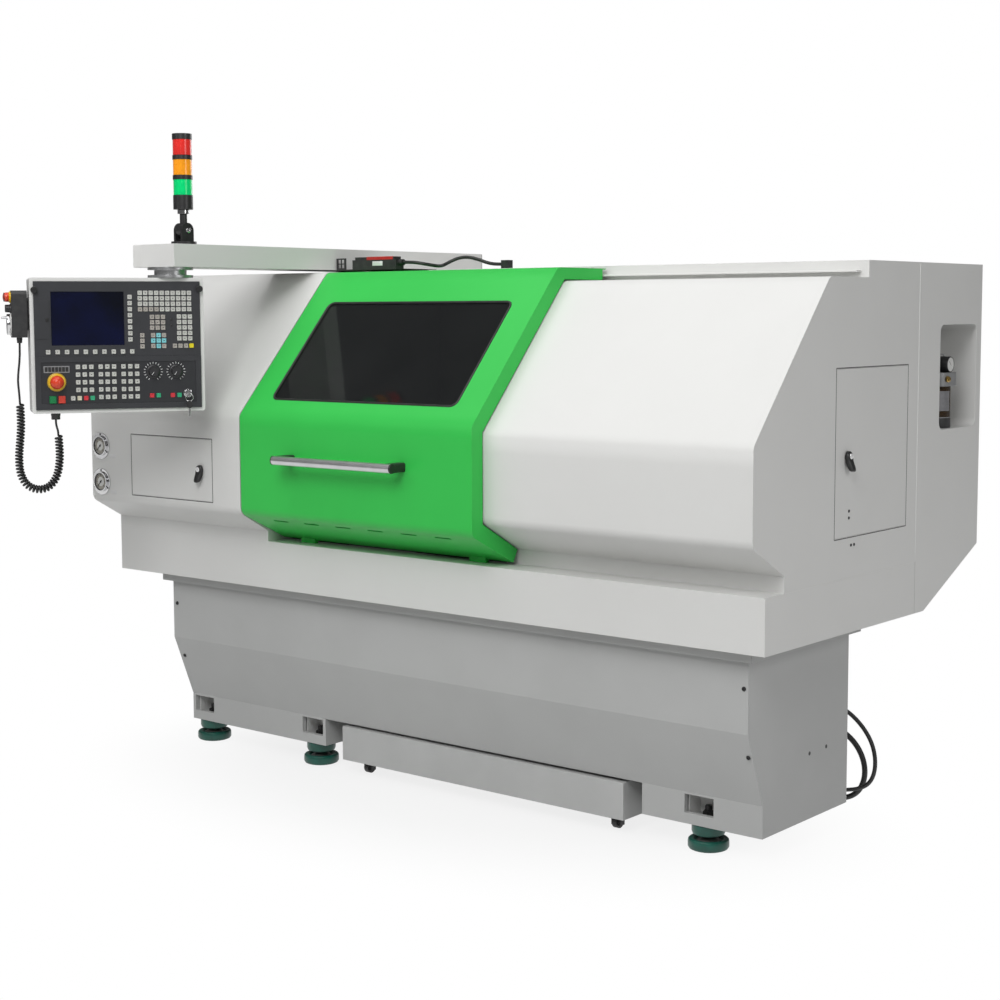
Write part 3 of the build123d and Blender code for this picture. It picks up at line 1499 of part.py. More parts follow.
with BuildPart() as lube_pump:
    rod((lube_x, lube_y, recess_bottom), (0, 0, 1), lube_reservoir_diameter, lube_base_height)
    with BuildSketch(Plane.XY.offset(lube_head_bottom)):
        with Locations((lube_x, lube_y)):
            RectangleRounded(lube_head_width, lube_head_width, lube_head_width / 4)
    extrude(amount=lube_head_height)
    gauge_middle = lube_head_top + lube_gauge_diameter / 2
    rod((lube_x, lube_y, gauge_middle), (1, 0, 0), lube_gauge_diameter, lube_gauge_length)
    rod((lube_x + lube_gauge_length / 2, lube_y, lube_head_top), (0, 0, 1), lube_fitting_diameter,
        lube_gauge_diameter / 2)
    rod((lube_x, lube_y - lube_head_width / 2, lube_head_bottom + lube_head_height / 2), (0, -1, 0),
        lube_fitting_diameter, lube_fitting_length / 2)
    bail_foot = lube_head_bottom + lube_head_height / 2
    with BuildLine() as bail:
        FilletPolyline(
            (lube_x, lube_y - lube_head_width / 4, bail_foot),
            (lube_x, lube_y - lube_bail_reach, bail_foot),
            (lube_x, lube_y - lube_bail_reach, bail_top),
            (lube_x, lube_y + lube_bail_reach, bail_top),
            (lube_x, lube_y + lube_bail_reach, bail_foot),
            (lube_x, lube_y + lube_head_width / 4, bail_foot),
            radius=lube_bail_bend,
        )
    with BuildSketch(Plane(origin=bail.line @ 0, z_dir=bail.line % 0)):
        Circle(lube_bail_wire / 2)
    sweep(path=bail.line)
pieces["lube_pump"] = lube_pump.part

# Pendant arm: a box beam over the headstock, on a round foot on the roof
arm_top = arm_bottom + arm_height
with BuildPart() as arm_beam:
    block((arm_x - arm_width / 2, arm_x + arm_width / 2), (arm_front, arm_back), (arm_bottom, arm_top))
    offset(amount=-arm_wall, openings=arm_beam.faces().sort_by(Axis.Y)[-1])
    rod((arm_x, arm_back - arm_foot_diameter, roof_height), (0, 0, 1), arm_foot_diameter, arm_bottom - roof_height)
pieces["arm_beam"] = arm_beam.part

# Swivel coupling under the arm's front end
housing_top = pendant_middle + housing_height / 2
coupling_bottom = housing_top + slide_gap
with BuildPart() as arm_coupling:
    rod((arm_x, pivot_y, coupling_bottom), (0, 0, 1), coupling_diameter, coupling_rim)
    rod((arm_x, pivot_y, coupling_bottom), (0, 0, 1), coupling_neck_diameter, arm_bottom - coupling_bottom)
    rod((arm_x, pivot_y, arm_bottom - coupling_rim), (0, 0, 1), coupling_diameter, coupling_rim)
pieces["arm_coupling"] = arm_coupling.part

# Pendant: its plane has x to the operator's right, y up and z out of the fascia, from the pivot
pendant_right = Vector(cos(radians(pendant_turn)), sin(radians(pendant_turn)), 0)
pendant_out = Vector(sin(radians(pendant_turn)), -cos(radians(pendant_turn)), 0)
pendant_plane = Plane(origin=(arm_x, pivot_y, pendant_middle), x_dir=pendant_right, z_dir=pendant_out)
fascia_x = -pendant_pivot_right
fascia_plane = Plane(
    origin=pendant_plane.from_local_coords((fascia_x, 0, pendant_face)), x_dir=pendant_right, z_dir=pendant_out)
fascia_height = display_height + key_panel_height
display_y = (fascia_height - display_height) / 2
key_panel_y = (key_panel_height - fascia_height) / 2
with BuildPart() as pendant_housing:
    with BuildSketch(fascia_plane.offset(-rim_setback)):
        RectangleRounded(housing_width, housing_height, housing_corner)
    extrude(amount=-housing_depth)
    with BuildSketch(fascia_plane):
        Rectangle(panel_width, fascia_height)
    extrude(amount=sheet - housing_depth, mode=Mode.SUBTRACT)
    gland_place = pendant_plane.from_local_coords((cable_gland_right, -housing_height / 2, 0))
    rod(gland_place, (0, 0, -1), cable_gland_diameter, cable_gland_length)
pieces["pendant_housing"] = pendant_housing.part

# Display panel: a plate with a sunk screen and a raised card cover
with BuildPart() as display_panel:
    with BuildSketch(fascia_plane):
        with Locations((0, display_y)):
            Rectangle(panel_width, display_height)
    extrude(amount=-panel_thickness)
    with BuildSketch(fascia_plane):
        screen_top = display_y + display_height * (0.5 - screen_top_share)
        with Locations((panel_width * (screen_left_share - 0.5), screen_top)):
            Rectangle(screen_width, screen_height, align=(Align.MIN, Align.MAX))
    extrude(amount=-screen_recess, mode=Mode.SUBTRACT)
    with BuildSketch(fascia_plane):
        with Locations((-panel_width / 2, display_y + display_height * (0.5 - card_top_share))):
            Rectangle(card_width, card_height, align=(Align.MIN, Align.MAX))
    extrude(amount=card_thickness)
pieces["display_panel"] = display_panel.part


def on_display(shares):
    """Place on the display panel, from shares of its width and of its height from the top."""
    return panel_width * (shares[0] - 0.5), display_y + display_height * (0.5 - shares[1])


def on_key_panel(shares):
    """Place on the key panel, from shares of its width and of its height from the top."""
    return panel_width * (shares[0] - 0.5), key_panel_y + key_panel_height * (0.5 - shares[1])


def control_plane(place, lift=0):
    """Plane on the fascia at one control."""
    return Plane(
        origin=fascia_plane.from_local_coords((*place, lift)), x_dir=pendant_right, z_dir=pendant_out)


# Key panel: a plate with a raised rim, the stop's collar and holes for the stems
estop_place = on_key_panel(estop_shares)
dial_places = [on_key_panel(shares) for shares in dial_shares]
key_switch_place = on_key_panel(key_switch_shares)
with BuildPart() as key_panel:
    with BuildSketch(fascia_plane):
        with Locations((0, key_panel_y)):
            Rectangle(panel_width, key_panel_height)
    extrude(amount=-panel_thickness)
    with BuildSketch(fascia_plane):
        with Locations((0, key_panel_y)):
            Rectangle(panel_width, key_panel_height)
            Rectangle(panel_width - 2 * bezel_width, key_panel_height - 2 * bezel_width, mode=Mode.SUBTRACT)
    extrude(amount=bezel_height)
    with Locations(control_plane(estop_place)):
        Cylinder(estop_collar_diameter / 2, estop_collar_height, align=(Align.CENTER, Align.CENTER, Align.MIN))
    for place, bore in (
        (estop_place, estop_stem_diameter),
        (dial_places[0], stem_diameter),
        (dial_places[1], stem_diameter),
        (key_switch_place, stem_diameter),
    ):
        with Locations(control_plane(place, -panel_thickness - overrun)):
            Cylinder(
                bore / 2 + shaft_gap,
                panel_thickness + estop_collar_height + 2 * overrun,
                align=(Align.CENTER, Align.CENTER, Align.MIN),
                mode=Mode.SUBTRACT,
            )
pieces["key_panel"] = key_panel.part

# Keys: plain caps in blocks, placed by shares of the panels
key_planes = []
for place_on, blocks in ((on_display, display_key_shares), (on_key_panel, panel_key_shares)):
    for first, last, columns, rows in blocks:
        for column in range(columns):
            for row in range(rows):
                across = first[0] + (last[0] - first[0]) * column / max(columns - 1, 1)
                down = first[1] + (last[1] - first[1]) * row / max(rows - 1, 1)
                key_planes.append(control_plane(place_on((across, down))))
with BuildPart() as panel_keys:
    with Locations(*key_planes):
        Box(key_size, key_size, key_depth, align=(Align.CENTER, Align.CENTER, Align.MIN))
pieces["panel_keys"] = panel_keys.part


def stemmed_knob(place, stem, lift, rings):
    """A stem in the panel with round steps over it, each a diameter and a height."""
    with BuildPart() as knob:
        with Locations(control_plane(place, -panel_thickness)):
            Cylinder(stem / 2, panel_thickness + lift, align=(Align.CENTER, Align.CENTER, Align.MIN))
        level = lift
        for diameter, height in rings:
            with Locations(control_plane(place, level)):
                Cylinder(diameter / 2, height, align=(Align.CENTER, Align.CENTER, Align.MIN))
            level += height
    return knob.part


# Emergency stop: a mushroom that stands off its collar by its travel
pieces["estop_button"] = stemmed_knob(
    estop_place,
    estop_stem_diameter,
    estop_collar_height + estop_travel + slide_gap,
    [(estop_diameter, estop_height * 2 / 3), (estop_diameter * 3 / 4, estop_height / 3)],
)

# Override dials: a skirted knob each
for number, place in enumerate(dial_places, start=1):
    pieces[f"override_dial_{number}"] = stemmed_knob(
        place,
        stem_diameter,
        slide_gap,
        [(dial_skirt_diameter, dial_skirt_height), (dial_diameter, dial_height)],
    )

# Key switch: a turning barrel with the key in it
with BuildPart() as key_switch:
    add(stemmed_knob(key_switch_place, stem_diameter, slide_gap, [(key_switch_diameter, key_switch_height)]))
    with Locations(control_plane(key_switch_place, slide_gap + key_switch_height)):
        Box(key_blade_thickness, key_blade_width, key_blade_height, align=(Align.CENTER, Align.CENTER, Align.MIN))
pieces["key_switch"] = key_switch.part

# Hand-held pulse unit in its holder on the pendant's left side, facing left
mpg_side_x = fascia_x - housing_width / 2
mpg_face_x = mpg_side_x - mpg_holder - mpg_depth


def mpg_plane(height_share, out=0):
    """Plane on the unit's face at a share of its height, with z out of the face."""
    local = (mpg_face_x - out, mpg_low + mpg_height * height_share, 0)
    return Plane(origin=pendant_plane.from_local_coords(local), x_dir=pendant_out, z_dir=-pendant_right)


with BuildPart() as mpg_unit:
    with BuildSketch(mpg_plane(0.5)):
        RectangleRounded(mpg_width, mpg_height, mpg_width / 6)
    extrude(amount=-mpg_depth)
    with BuildSketch(mpg_plane(0.5, -mpg_depth)):
        RectangleRounded(mpg_width * 0.6, mpg_height * 0.7, mpg_width / 8)
    extrude(amount=-mpg_holder)
    for share, diameter, height in (
        (mpg_knob_share, mpg_knob_diameter, mpg_knob_height),
        (mpg_stop_share, mpg_stop_diameter, mpg_stop_height),
    ):
        with Locations(mpg_plane(share)):
            Cylinder(diameter / 2, height, align=(Align.CENTER, Align.CENTER, Align.MIN))
    gland_top = pendant_plane.from_local_coords((mpg_face_x + mpg_depth / 2, mpg_low, 0))
    rod(gland_top, (0, 0, -1), mpg_gland_diameter, mpg_gland_length)
    with Locations(mpg_plane(mpg_wheel_share, -mpg_wheel_thickness)):
        Cylinder(
            stem_diameter / 2 + shaft_gap,
            mpg_wheel_thickness + overrun,
            align=(Align.CENTER, Align.CENTER, Align.MIN),
            mode=Mode.SUBTRACT,
        )
pieces["mpg_unit"] = mpg_unit.part

# Pulse unit's handwheel with its small crank
with BuildPart() as mpg_wheel:
    with Locations(mpg_plane(mpg_wheel_share, -mpg_wheel_thickness)):
        Cylinder(stem_diameter / 2, mpg_wheel_thickness + slide_gap, align=(Align.CENTER, Align.CENTER, Align.MIN))
    with Locations(mpg_plane(mpg_wheel_share, slide_gap)):
        Cylinder(mpg_wheel_diameter / 2, mpg_wheel_thickness, align=(Align.CENTER, Align.CENTER, Align.MIN))
    with Locations(mpg_plane(mpg_wheel_share, slide_gap + mpg_wheel_thickness)):
        with Locations((0, mpg_wheel_diameter / 3)):
            Cylinder(mpg_crank_diameter / 2, mpg_crank_length, align=(Align.CENTER, Align.CENTER, Align.MIN))
pieces["mpg_wheel"] = mpg_wheel.part

# Signal tower: a foot with two ears, a stem that folds between them, and three lenses
knuckle_z = arm_top + tower_foot_height + tower_foot_neck + knuckle_diameter / 2
with BuildPart() as tower_foot:
    rod((arm_x, tower_y, arm_top), (0, 0, 1), tower_foot_diameter, tower_foot_height)
    block(
        (arm_x - knuckle_width / 2 - knuckle_ear, arm_x + knuckle_width / 2 + knuckle_ear),
        (tower_y - knuckle_diameter / 2, tower_y + knuckle_diameter / 2),
        (arm_top + tower_foot_height, knuckle_z),
    )
    rod((arm_x - knuckle_width / 2 - knuckle_ear, tower_y, knuckle_z), (1, 0, 0), knuckle_diameter,
        knuckle_width + 2 * knuckle_ear)
    block(
        (arm_x - knuckle_width / 2 - slide_gap, arm_x + knuckle_width / 2 + slide_gap),
        (tower_y - knuckle_diameter, tower_y + knuckle_diameter),
        (arm_top + tower_foot_height, knuckle_z + knuckle_diameter),
        Mode.SUBTRACT,
    )
    rod((arm_x - knuckle_width / 2 - knuckle_ear, tower_y, knuckle_z), (1, 0, 0), knuckle_pin,
        knuckle_width + 2 * knuckle_ear)
pieces["tower_foot"] = tower_foot.part

socket_bottom = knuckle_z + knuckle_diameter / 2 + tower_pole + tower_collar
lens_bottoms = [socket_bottom + tower_socket + lens * (tower_lens + tower_ring) for lens in range(3)]
with BuildPart() as tower_stem:
    rod((arm_x - knuckle_width / 2, tower_y, knuckle_z), (1, 0, 0), knuckle_diameter - 2 * slide_gap, knuckle_width)
    rod((arm_x, tower_y, knuckle_z), (0, 0, 1), tower_pole_diameter, socket_bottom - knuckle_z)
    rod((arm_x, tower_y, socket_bottom - tower_collar), (0, 0, 1), tower_collar_diameter, tower_collar)
    rod((arm_x, tower_y, socket_bottom), (0, 0, 1), tower_diameter, tower_socket)
    for lens_bottom in lens_bottoms:
        ring_height = tower_cap if lens_bottom == lens_bottoms[-1] else tower_ring
        rod((arm_x, tower_y, lens_bottom + tower_lens), (0, 0, 1), tower_diameter, ring_height)
    rod((arm_x, tower_y, socket_bottom), (0, 0, 1), tower_pole_diameter, lens_bottoms[-1] + tower_lens - socket_bottom)
    rod((arm_x - knuckle_width, tower_y, knuckle_z), (1, 0, 0), knuckle_pin + 2 * shaft_gap, 2 * knuckle_width,
        Mode.SUBTRACT)
pieces["tower_stem"] = tower_stem.part

with BuildPart() as signal_lamps:
    for lens_bottom in lens_bottoms:
        rod((arm_x, tower_y, lens_bottom), (0, 0, 1), tower_diameter - sheet, tower_lens)
        rod((arm_x, tower_y, lens_bottom), (0, 0, 1), tower_pole_diameter, tower_lens, Mode.SUBTRACT)
pieces["signal_lamps"] = signal_lamps.part

# Door interlock switch on a plate that reaches forward from the roof, with its perforated bracket and the
# block where its cable enters the roof
switch_right = switch_left + switch_length
bracket_right = switch_left - stop_bracket_gap
bracket_left = bracket_right - stop_bracket_width
switch_middle_y = switch_y + switch_width / 2
plate_top = roof_height + sheet
with BuildPart() as interlock_switch:
    block((bracket_left, switch_right), (switch_y, roof_front + switch_plate_lap), (roof_height, plate_top))
    block(
        (switch_left, switch_right),
        (switch_y, switch_y + switch_width),
        (plate_top, plate_top + switch_height - switch_cap_height),
    )
    block(
        (switch_left + switch_cap_height, switch_right - switch_cap_height),
        (switch_y + switch_cap_height / 3, switch_y + switch_width - switch_cap_height / 3),
        (plate_top, plate_top + switch_height),
    )
    rod((switch_right, switch_middle_y, plate_top + switch_height / 2), (1, 0, 0), switch_gland_diameter,
        switch_gland_length)
    block((bracket_left, bracket_right), (switch_y, switch_y + sheet), (plate_top, plate_top + stop_bracket_height))
    bracket_middle = ((bracket_left + bracket_right) / 2, switch_y, plate_top + stop_bracket_height / 2)
    with BuildSketch(Plane(origin=bracket_middle, x_dir=(1, 0, 0), z_dir=(0, -1, 0))):
        with GridLocations(stop_bracket_hole + sheet, stop_bracket_hole + sheet, 2, 2):
            Rectangle(stop_bracket_hole, stop_bracket_hole)
    extrude(amount=sheet + overrun, both=True, mode=Mode.SUBTRACT)
    entry_x, entry_y, entry_z = switch_route[-1]
    block(
        (entry_x, entry_x + roof_gland_length),
        (entry_y - roof_gland_width / 2, entry_y + roof_gland_width / 2),
        (roof_height, roof_height + roof_gland_height),
    )
pieces["interlock_switch"] = interlock_switch.part

# Cords, along routes chosen by hand: the pulse unit's curly cord hangs in the pendant's plane
lead_points = [pendant_plane.from_local_coords((*point, 0)) for point in lead_route]
coil_points = [pendant_plane.from_local_coords((*point, 0)) for point in coil_route]
tail_points = [pendant_plane.from_local_coords((*point, 0)) for point in tail_route]
lead_tube = cord_tube(lead_points, lead_diameter)
tail_tube = cord_tube(tail_points, lead_diameter)
with BuildPart() as mpg_lead:
    add(lead_tube)
    add(tail_tube)
pieces["mpg_lead"] = mpg_lead.part
pieces["mpg_coil"] = cord_tube(coil_points, curl_diameter)
pieces["switch_cable"] = cord_tube(switch_route, switch_cable_diameter)
pieces["pump_cable"] = cord_tube(pump_cable_route, pump_cable_diameter)
pieces["pump_conduit"] = cord_tube(conduit_route, conduit_diameter)
cord_names = ("mpg_lead", "mpg_coil", "switch_cable", "pump_cable", "pump_conduit")

# Every piece moves so that the origin is under the middle of the machine
machine = Compound(children=[copy(piece) for name, piece in pieces.items() if name not in cord_names])
body_box = machine.bounding_box()
to_origin = Location((-body_box.center().X, -body_box.center().Y, 0))
print("moved by", [round(value, 4) for value in to_origin.position])
os.makedirs("parts", exist_ok=True)
for name, piece in pieces.items():
    placed = piece.moved(to_origin)
    placed.label = name
    export_step(placed, f"parts/{name}.step")
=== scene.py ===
from math import copysign, cos, pi, radians, sin

import bmesh
import bpy
from mathutils import Matrix, Vector


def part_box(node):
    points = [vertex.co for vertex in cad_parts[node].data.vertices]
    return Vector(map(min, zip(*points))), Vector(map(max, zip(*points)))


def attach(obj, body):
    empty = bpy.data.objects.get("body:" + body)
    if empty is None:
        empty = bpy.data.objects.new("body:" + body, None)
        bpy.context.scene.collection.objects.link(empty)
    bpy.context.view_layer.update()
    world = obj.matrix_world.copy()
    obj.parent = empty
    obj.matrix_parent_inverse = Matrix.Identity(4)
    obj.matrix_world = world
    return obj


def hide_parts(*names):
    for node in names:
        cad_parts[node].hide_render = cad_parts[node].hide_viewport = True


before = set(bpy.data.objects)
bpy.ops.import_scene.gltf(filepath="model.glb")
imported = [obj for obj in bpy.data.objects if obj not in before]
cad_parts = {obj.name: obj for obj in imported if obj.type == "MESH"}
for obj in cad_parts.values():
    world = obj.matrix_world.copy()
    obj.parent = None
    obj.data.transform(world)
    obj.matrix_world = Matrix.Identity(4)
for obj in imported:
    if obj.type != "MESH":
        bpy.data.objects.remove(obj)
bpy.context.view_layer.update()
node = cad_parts

# The photographer stands in front of the tail end, with the eye at about the height of the door's window.
# The lens is a short telephoto, and the view is shifted down a little to take in the feet.
eye = Vector((3.4765, -4.03445, 1.444))
turn, pitch, roll = radians(39.3826), radians(5.45), radians(-0.196)
sight = Vector((-sin(turn) * cos(pitch), cos(turn) * cos(pitch), -sin(pitch)))
aside = Vector((cos(turn), sin(turn), 0))
above = aside.cross(sight)
camera = bpy.data.objects.new("camera", bpy.data.cameras.new("camera"))
turned_axes = (aside * cos(roll) + above * sin(roll), above * cos(roll) - aside * sin(roll), -sight)
camera.matrix_world = Matrix.Translation(eye) @ Matrix(turned_axes).transposed().to_4x4()
camera.data.sensor_fit = "HORIZONTAL"
camera.data.sensor_width = 36.0
camera.data.lens = 63.63
camera.data.shift_y = -0.0203
camera.data.clip_end = 60.0
bpy.context.collection.objects.link(camera)
bpy.context.scene.camera = camera
bpy.context.scene.view_settings.view_transform = "Standard"

# The cables are black rubber: a curly cord from the pulse unit to the pendant, the door switch's lead on the
# roof, and two leads of the coolant pump at the back. Each is one soft line between two glands.
middle_from_tray, middle_from_front = 12.5, 273.4543
pendant_turn = radians(57.5)
pendant_right = Vector((cos(pendant_turn), sin(pendant_turn), 0))
pendant_out = Vector((sin(pendant_turn), -cos(pendant_turn), 0))
plumb = Vector((0, 0, 1))


def at(x, y, z):
    """A place on the machine in millimetres: x from the tray's middle, y from its front, z from the floor."""
    return Vector((x - middle_from_tray, y - middle_from_front, z)) / 1000


pendant_pivot = at(-663, -259, 1347.5)


def on_pendant(x, y, out=0.0):
    """A place on the pendant in millimetres from its pivot: to its right, up, and out of its face."""
    return pendant_pivot + (pendant_right * x + plumb * y + pendant_out * out) / 1000


def soft_line(name, points, thickness, resolution):
    """A smooth curve with the points as its control points, as thick as a cable in millimetres."""
    curve = bpy.data.curves.new(name, "CURVE")
    curve.dimensions = "3D"
    curve.bevel_depth = thickness / 2000
    curve.bevel_resolution = 3
    curve.resolution_u = resolution
    curve.use_fill_caps = thickness > 0
    spline = curve.splines.new("NURBS")
    spline.points.add(len(points) - 1)
    for point, place in zip(spline.points, points):
        point.co = (*place, 1)
    spline.order_u = 3
    spline.use_endpoint_u = True
    spline.use_smooth = True
    line = bpy.data.objects.new(name, curve)
    bpy.context.collection.objects.link(line)
    return line


def shading_group(name, inputs, outputs):
    """A new shader node group with float and colour sockets, and its two end nodes."""
    tree = bpy.data.node_groups.new(name, "ShaderNodeTree")
    for label, kind, value in inputs:
        socket = tree.interface.new_socket(label, in_out="INPUT", socket_type=kind)
        if value is not None:
            socket.default_value = value
    for label, kind in outputs:
        tree.interface.new_socket(label, in_out="OUTPUT", socket_type=kind)
    return tree, tree.nodes.new("NodeGroupInput"), tree.nodes.new("NodeGroupOutput")


def fed(tree, part, values):
    """Feed a shader node's inputs in order, each by a link or with a plain value."""
    for socket, value in zip(part.inputs, values):
        if isinstance(value, bpy.types.NodeSocket):
            tree.links.new(value, socket)
        else:
            socket.default_value = value
    return part


def number_from(tree, operation, *values):
    """The number that a math node makes of its values."""
    part = tree.nodes.new("ShaderNodeMath")
    part.operation = operation
    return fed(tree, part, values).outputs["Value"]


def vector_from(tree, operation, *values):
    """The vector that a vector node makes of its values, or the number where it makes one."""
    part = tree.nodes.new("ShaderNodeVectorMath")
    part.operation = operation
    return fed(tree, part, values).outputs["Value" if operation in ("DOT_PRODUCT", "LENGTH") else "Vector"]


def colour_between(tree, share, first, second):
    """The colour that lies between a first and a second one by a share."""
    first_input, second_input, colour_output = 6, 7, 2
    mix = tree.nodes.new("ShaderNodeMix")
    mix.data_type = "RGBA"
    tree.links.new(share, mix.inputs["Factor"])
    tree.links.new(first, mix.inputs[first_input])
    if isinstance(second, bpy.types.NodeSocket):
        tree.links.new(second, mix.inputs[second_input])
    else:
        mix.inputs[second_input].default_value = (*second, 1)
    return mix.outputs[colour_output]


# Paint, castings and mouldings are never quite even. This group gives them a cloudy colour, a swing in gloss
# and the height of a fine grain.
mottle, given, result = shading_group(
    "surface_mottle",
    [("Colour", "NodeSocketColor", (0.5, 0.5, 0.5, 1)), ("Patch colour", "NodeSocketColor", (0.4, 0.4, 0.4, 1)),
     ("Patch scale", "NodeSocketFloat", 6.0), ("Grain scale", "NodeSocketFloat", 600.0),
     ("Roughness", "NodeSocketFloat", 0.5), ("Swing", "NodeSocketFloat", 0.1)],
    [("Colour", "NodeSocketColor"), ("Roughness", "NodeSocketFloat"), ("Height", "NodeSocketFloat")],
)
here = mottle.nodes.new("ShaderNodeTexCoord")
noises = []
for scale, detail in (("Patch scale", 3.0), ("Grain scale", 2.0)):
    noise = mottle.nodes.new("ShaderNodeTexNoise")
    noise.inputs["Detail"].default_value = detail
    mottle.links.new(here.outputs["Object"], noise.inputs["Vector"])
    mottle.links.new(given.outputs[scale], noise.inputs["Scale"])
    noises.append(noise.outputs["Fac"])
clouds, fine_grain = noises
spread = mottle.nodes.new("ShaderNodeMapRange")
spread.inputs["From Min"].default_value = 0.35
spread.inputs["From Max"].default_value = 0.65
mottle.links.new(clouds, spread.inputs["Value"])
cloudy = colour_between(
    mottle, spread.outputs["Result"], given.outputs["Colour"], given.outputs["Patch colour"])
uneven_gloss = number_from(
    mottle, "MULTIPLY_ADD", fine_grain, given.outputs["Swing"], given.outputs["Roughness"])
mottle.links.new(cloudy, result.inputs["Colour"])
mottle.links.new(uneven_gloss, result.inputs["Roughness"])
mottle.links.new(fine_grain, result.inputs["Height"])

# Edges of sheet and castings are never sharp. This group gives a rounded normal, and a mask of the edges, which
# the finishes paint lighter: partly as wear, partly as a painted highlight.
rounding, given, result = shading_group(
    "rounded_edge",
    [("Radius", "NodeSocketFloat", 0.0015)],
    [("Normal", "NodeSocketVector"), ("Edge", "NodeSocketFloat")],
)
bevel = rounding.nodes.new("ShaderNodeBevel")
bevel.samples = 6
facing = rounding.nodes.new("ShaderNodeNewGeometry")
edge_band = rounding.nodes.new("ShaderNodeMapRange")
edge_band.inputs["From Min"].default_value = 0.995
edge_band.inputs["From Max"].default_value = 0.80
rounding.links.new(given.outputs["Radius"], bevel.inputs["Radius"])
agreement = vector_from(rounding, "DOT_PRODUCT", bevel.outputs["Normal"], facing.outputs["Normal"])
rounding.links.new(agreement, edge_band.inputs["Value"])
rounding.links.new(edge_band.outputs["Result"], result.inputs["Edge"])
rounding.links.new(bevel.outputs["Normal"], result.inputs["Normal"])


def finish(name, colour, patch, gloss, grain, metal=0.0, edge=0.0, wear_and_highlight=None):
    """A surface: colour and patch colour, (roughness, swing), (patch scale, grain scale, grain depth in mm)."""
    roughness, swing = gloss
    patch_scale, grain_scale, grain_depth = grain
    material = bpy.data.materials.new(name)
    material.use_nodes = True
    tree = material.node_tree
    shader = tree.nodes["Principled BSDF"]
    surface = tree.nodes.new("ShaderNodeGroup")
    surface.node_tree = mottle
    for label, value in (("Colour", (*colour, 1)), ("Patch colour", (*patch, 1)), ("Patch scale", patch_scale),
                         ("Grain scale", grain_scale), ("Roughness", roughness - swing / 2), ("Swing", swing)):
        surface.inputs[label].default_value = value
    relief = tree.nodes.new("ShaderNodeBump")
    relief.inputs["Distance"].default_value = grain_depth / 1000
    relief.inputs["Strength"].default_value = 1.0
    tree.links.new(surface.outputs["Roughness"], shader.inputs["Roughness"])
    tree.links.new(surface.outputs["Height"], relief.inputs["Height"])
    tree.links.new(relief.outputs["Normal"], shader.inputs["Normal"])
    shader.inputs["Metallic"].default_value = metal
    painted = surface.outputs["Colour"]
    if edge:
        corner = tree.nodes.new("ShaderNodeGroup")
        corner.node_tree = rounding
        corner.inputs["Radius"].default_value = edge / 1000
        tree.links.new(corner.outputs["Normal"], relief.inputs["Normal"])
        # Edges take the lighter colour given: partly wear, partly a painted highlight.
        if wear_and_highlight:
            painted = colour_between(tree, corner.outputs["Edge"], painted, wear_and_highlight)
    tree.links.new(painted, shader.inputs["Base Color"])
    return material


cable_rubber = finish("cable_rubber", (0.012, 0.012, 0.012), (0.02, 0.02, 0.02), (0.42, 0.12), (40, 900, 0.05))

lead_route = [(-443.5, 8), (-443.5, -30), (-448, -66), (-452, -102), (-449, -136), (-447.5, -168)]
coil_route = [(-447.5, -168), (-445, -221.3), (-449, -274), (-455, -326), (-453, -376), (-436, -412),
              (-403, -428), (-369, -420), (-347, -390), (-338, -348), (-337, -305), (-340, -263)]
tail_route = [(-340, -263), (-340.8, -251.8), (-344, -241), (-346, -230), (-346, -218.5)]
axis_line = soft_line("coil_axis", [on_pendant(*place) for place in coil_route], 0, 40)
axis_mesh = bpy.data.meshes.new_from_object(axis_line.evaluated_get(bpy.context.evaluated_depsgraph_get()))
axis_points = [vertex.co.copy() for vertex in axis_mesh.vertices]
bpy.data.objects.remove(axis_line)
bpy.data.meshes.remove(axis_mesh)
reach = [0.0]
for start, end in zip(axis_points, axis_points[1:]):
    reach.append(reach[-1] + (end - start).length)
coil_radius, coil_pitch, steps_a_turn, cord_thickness = 0.0095, 0.0095, 14, 6.5
coil_turns = round(reach[-1] / coil_pitch)
curls = []
piece_of_axis = 0
for step in range(steps_a_turn // 2, coil_turns * steps_a_turn - steps_a_turn // 2 + 1):
    along = reach[-1] * step / (coil_turns * steps_a_turn)
    while reach[piece_of_axis + 1] < along:
        piece_of_axis += 1
    start, end = axis_points[piece_of_axis], axis_points[piece_of_axis + 1]
    share = (along - reach[piece_of_axis]) / (reach[piece_of_axis + 1] - reach[piece_of_axis])
    forward = (end - start).normalized()
    angle = 2 * pi * step / steps_a_turn
    ring = pendant_out * cos(angle) + forward.cross(pendant_out) * sin(angle)
    curls.append(start.lerp(end, share) + ring * coil_radius)
curly_cord = soft_line(
    "curly_cord",
    [on_pendant(*place) for place in lead_route] + curls + [on_pendant(*place) for place in tail_route],
    cord_thickness, 2)
curly_cord.data.materials.append(cable_rubber)
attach(curly_cord, "pendant")
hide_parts("mpg_lead", "mpg_coil")

free_leads = {
    "switch_cable": (11.0, 0.386, [
        (-302, 382, 1598), (-266, 382, 1598), (-234, 391, 1593.5), (-214, 416, 1588), (-212, 448, 1585.5),
        (-219, 478, 1588.5), (-210, 504, 1602), (-186, 518, 1613), (-154, 526, 1614.5), (-120, 533, 1606),
        (-90, 540, 1595), (-58, 541, 1590), (-26, 541, 1590)]),
    "pump_cable": (12.0, 0.475, [
        (1080, 607, 330), (1080, 642, 330), (1092, 676, 321), (1118, 700, 298), (1151, 711, 263), (1180, 711, 222),
        (1195, 706, 177), (1194, 702, 134), (1178, 698, 102), (1149, 690, 86), (1118, 673, 82), (1098, 644, 84),
        (1098, 607, 84)]),
    "pump_conduit": (16.0, 0.50, [
        (1050, 607, 262), (1050, 650, 262), (1060, 692, 256), (1083, 724, 237), (1114, 742, 202), (1138, 745, 158),
        (1146, 740, 112), (1134, 734, 72), (1108, 724, 48), (1074, 706, 44), (1050, 676, 58), (1042, 642, 72),
        (1042, 607, 72)]),
}
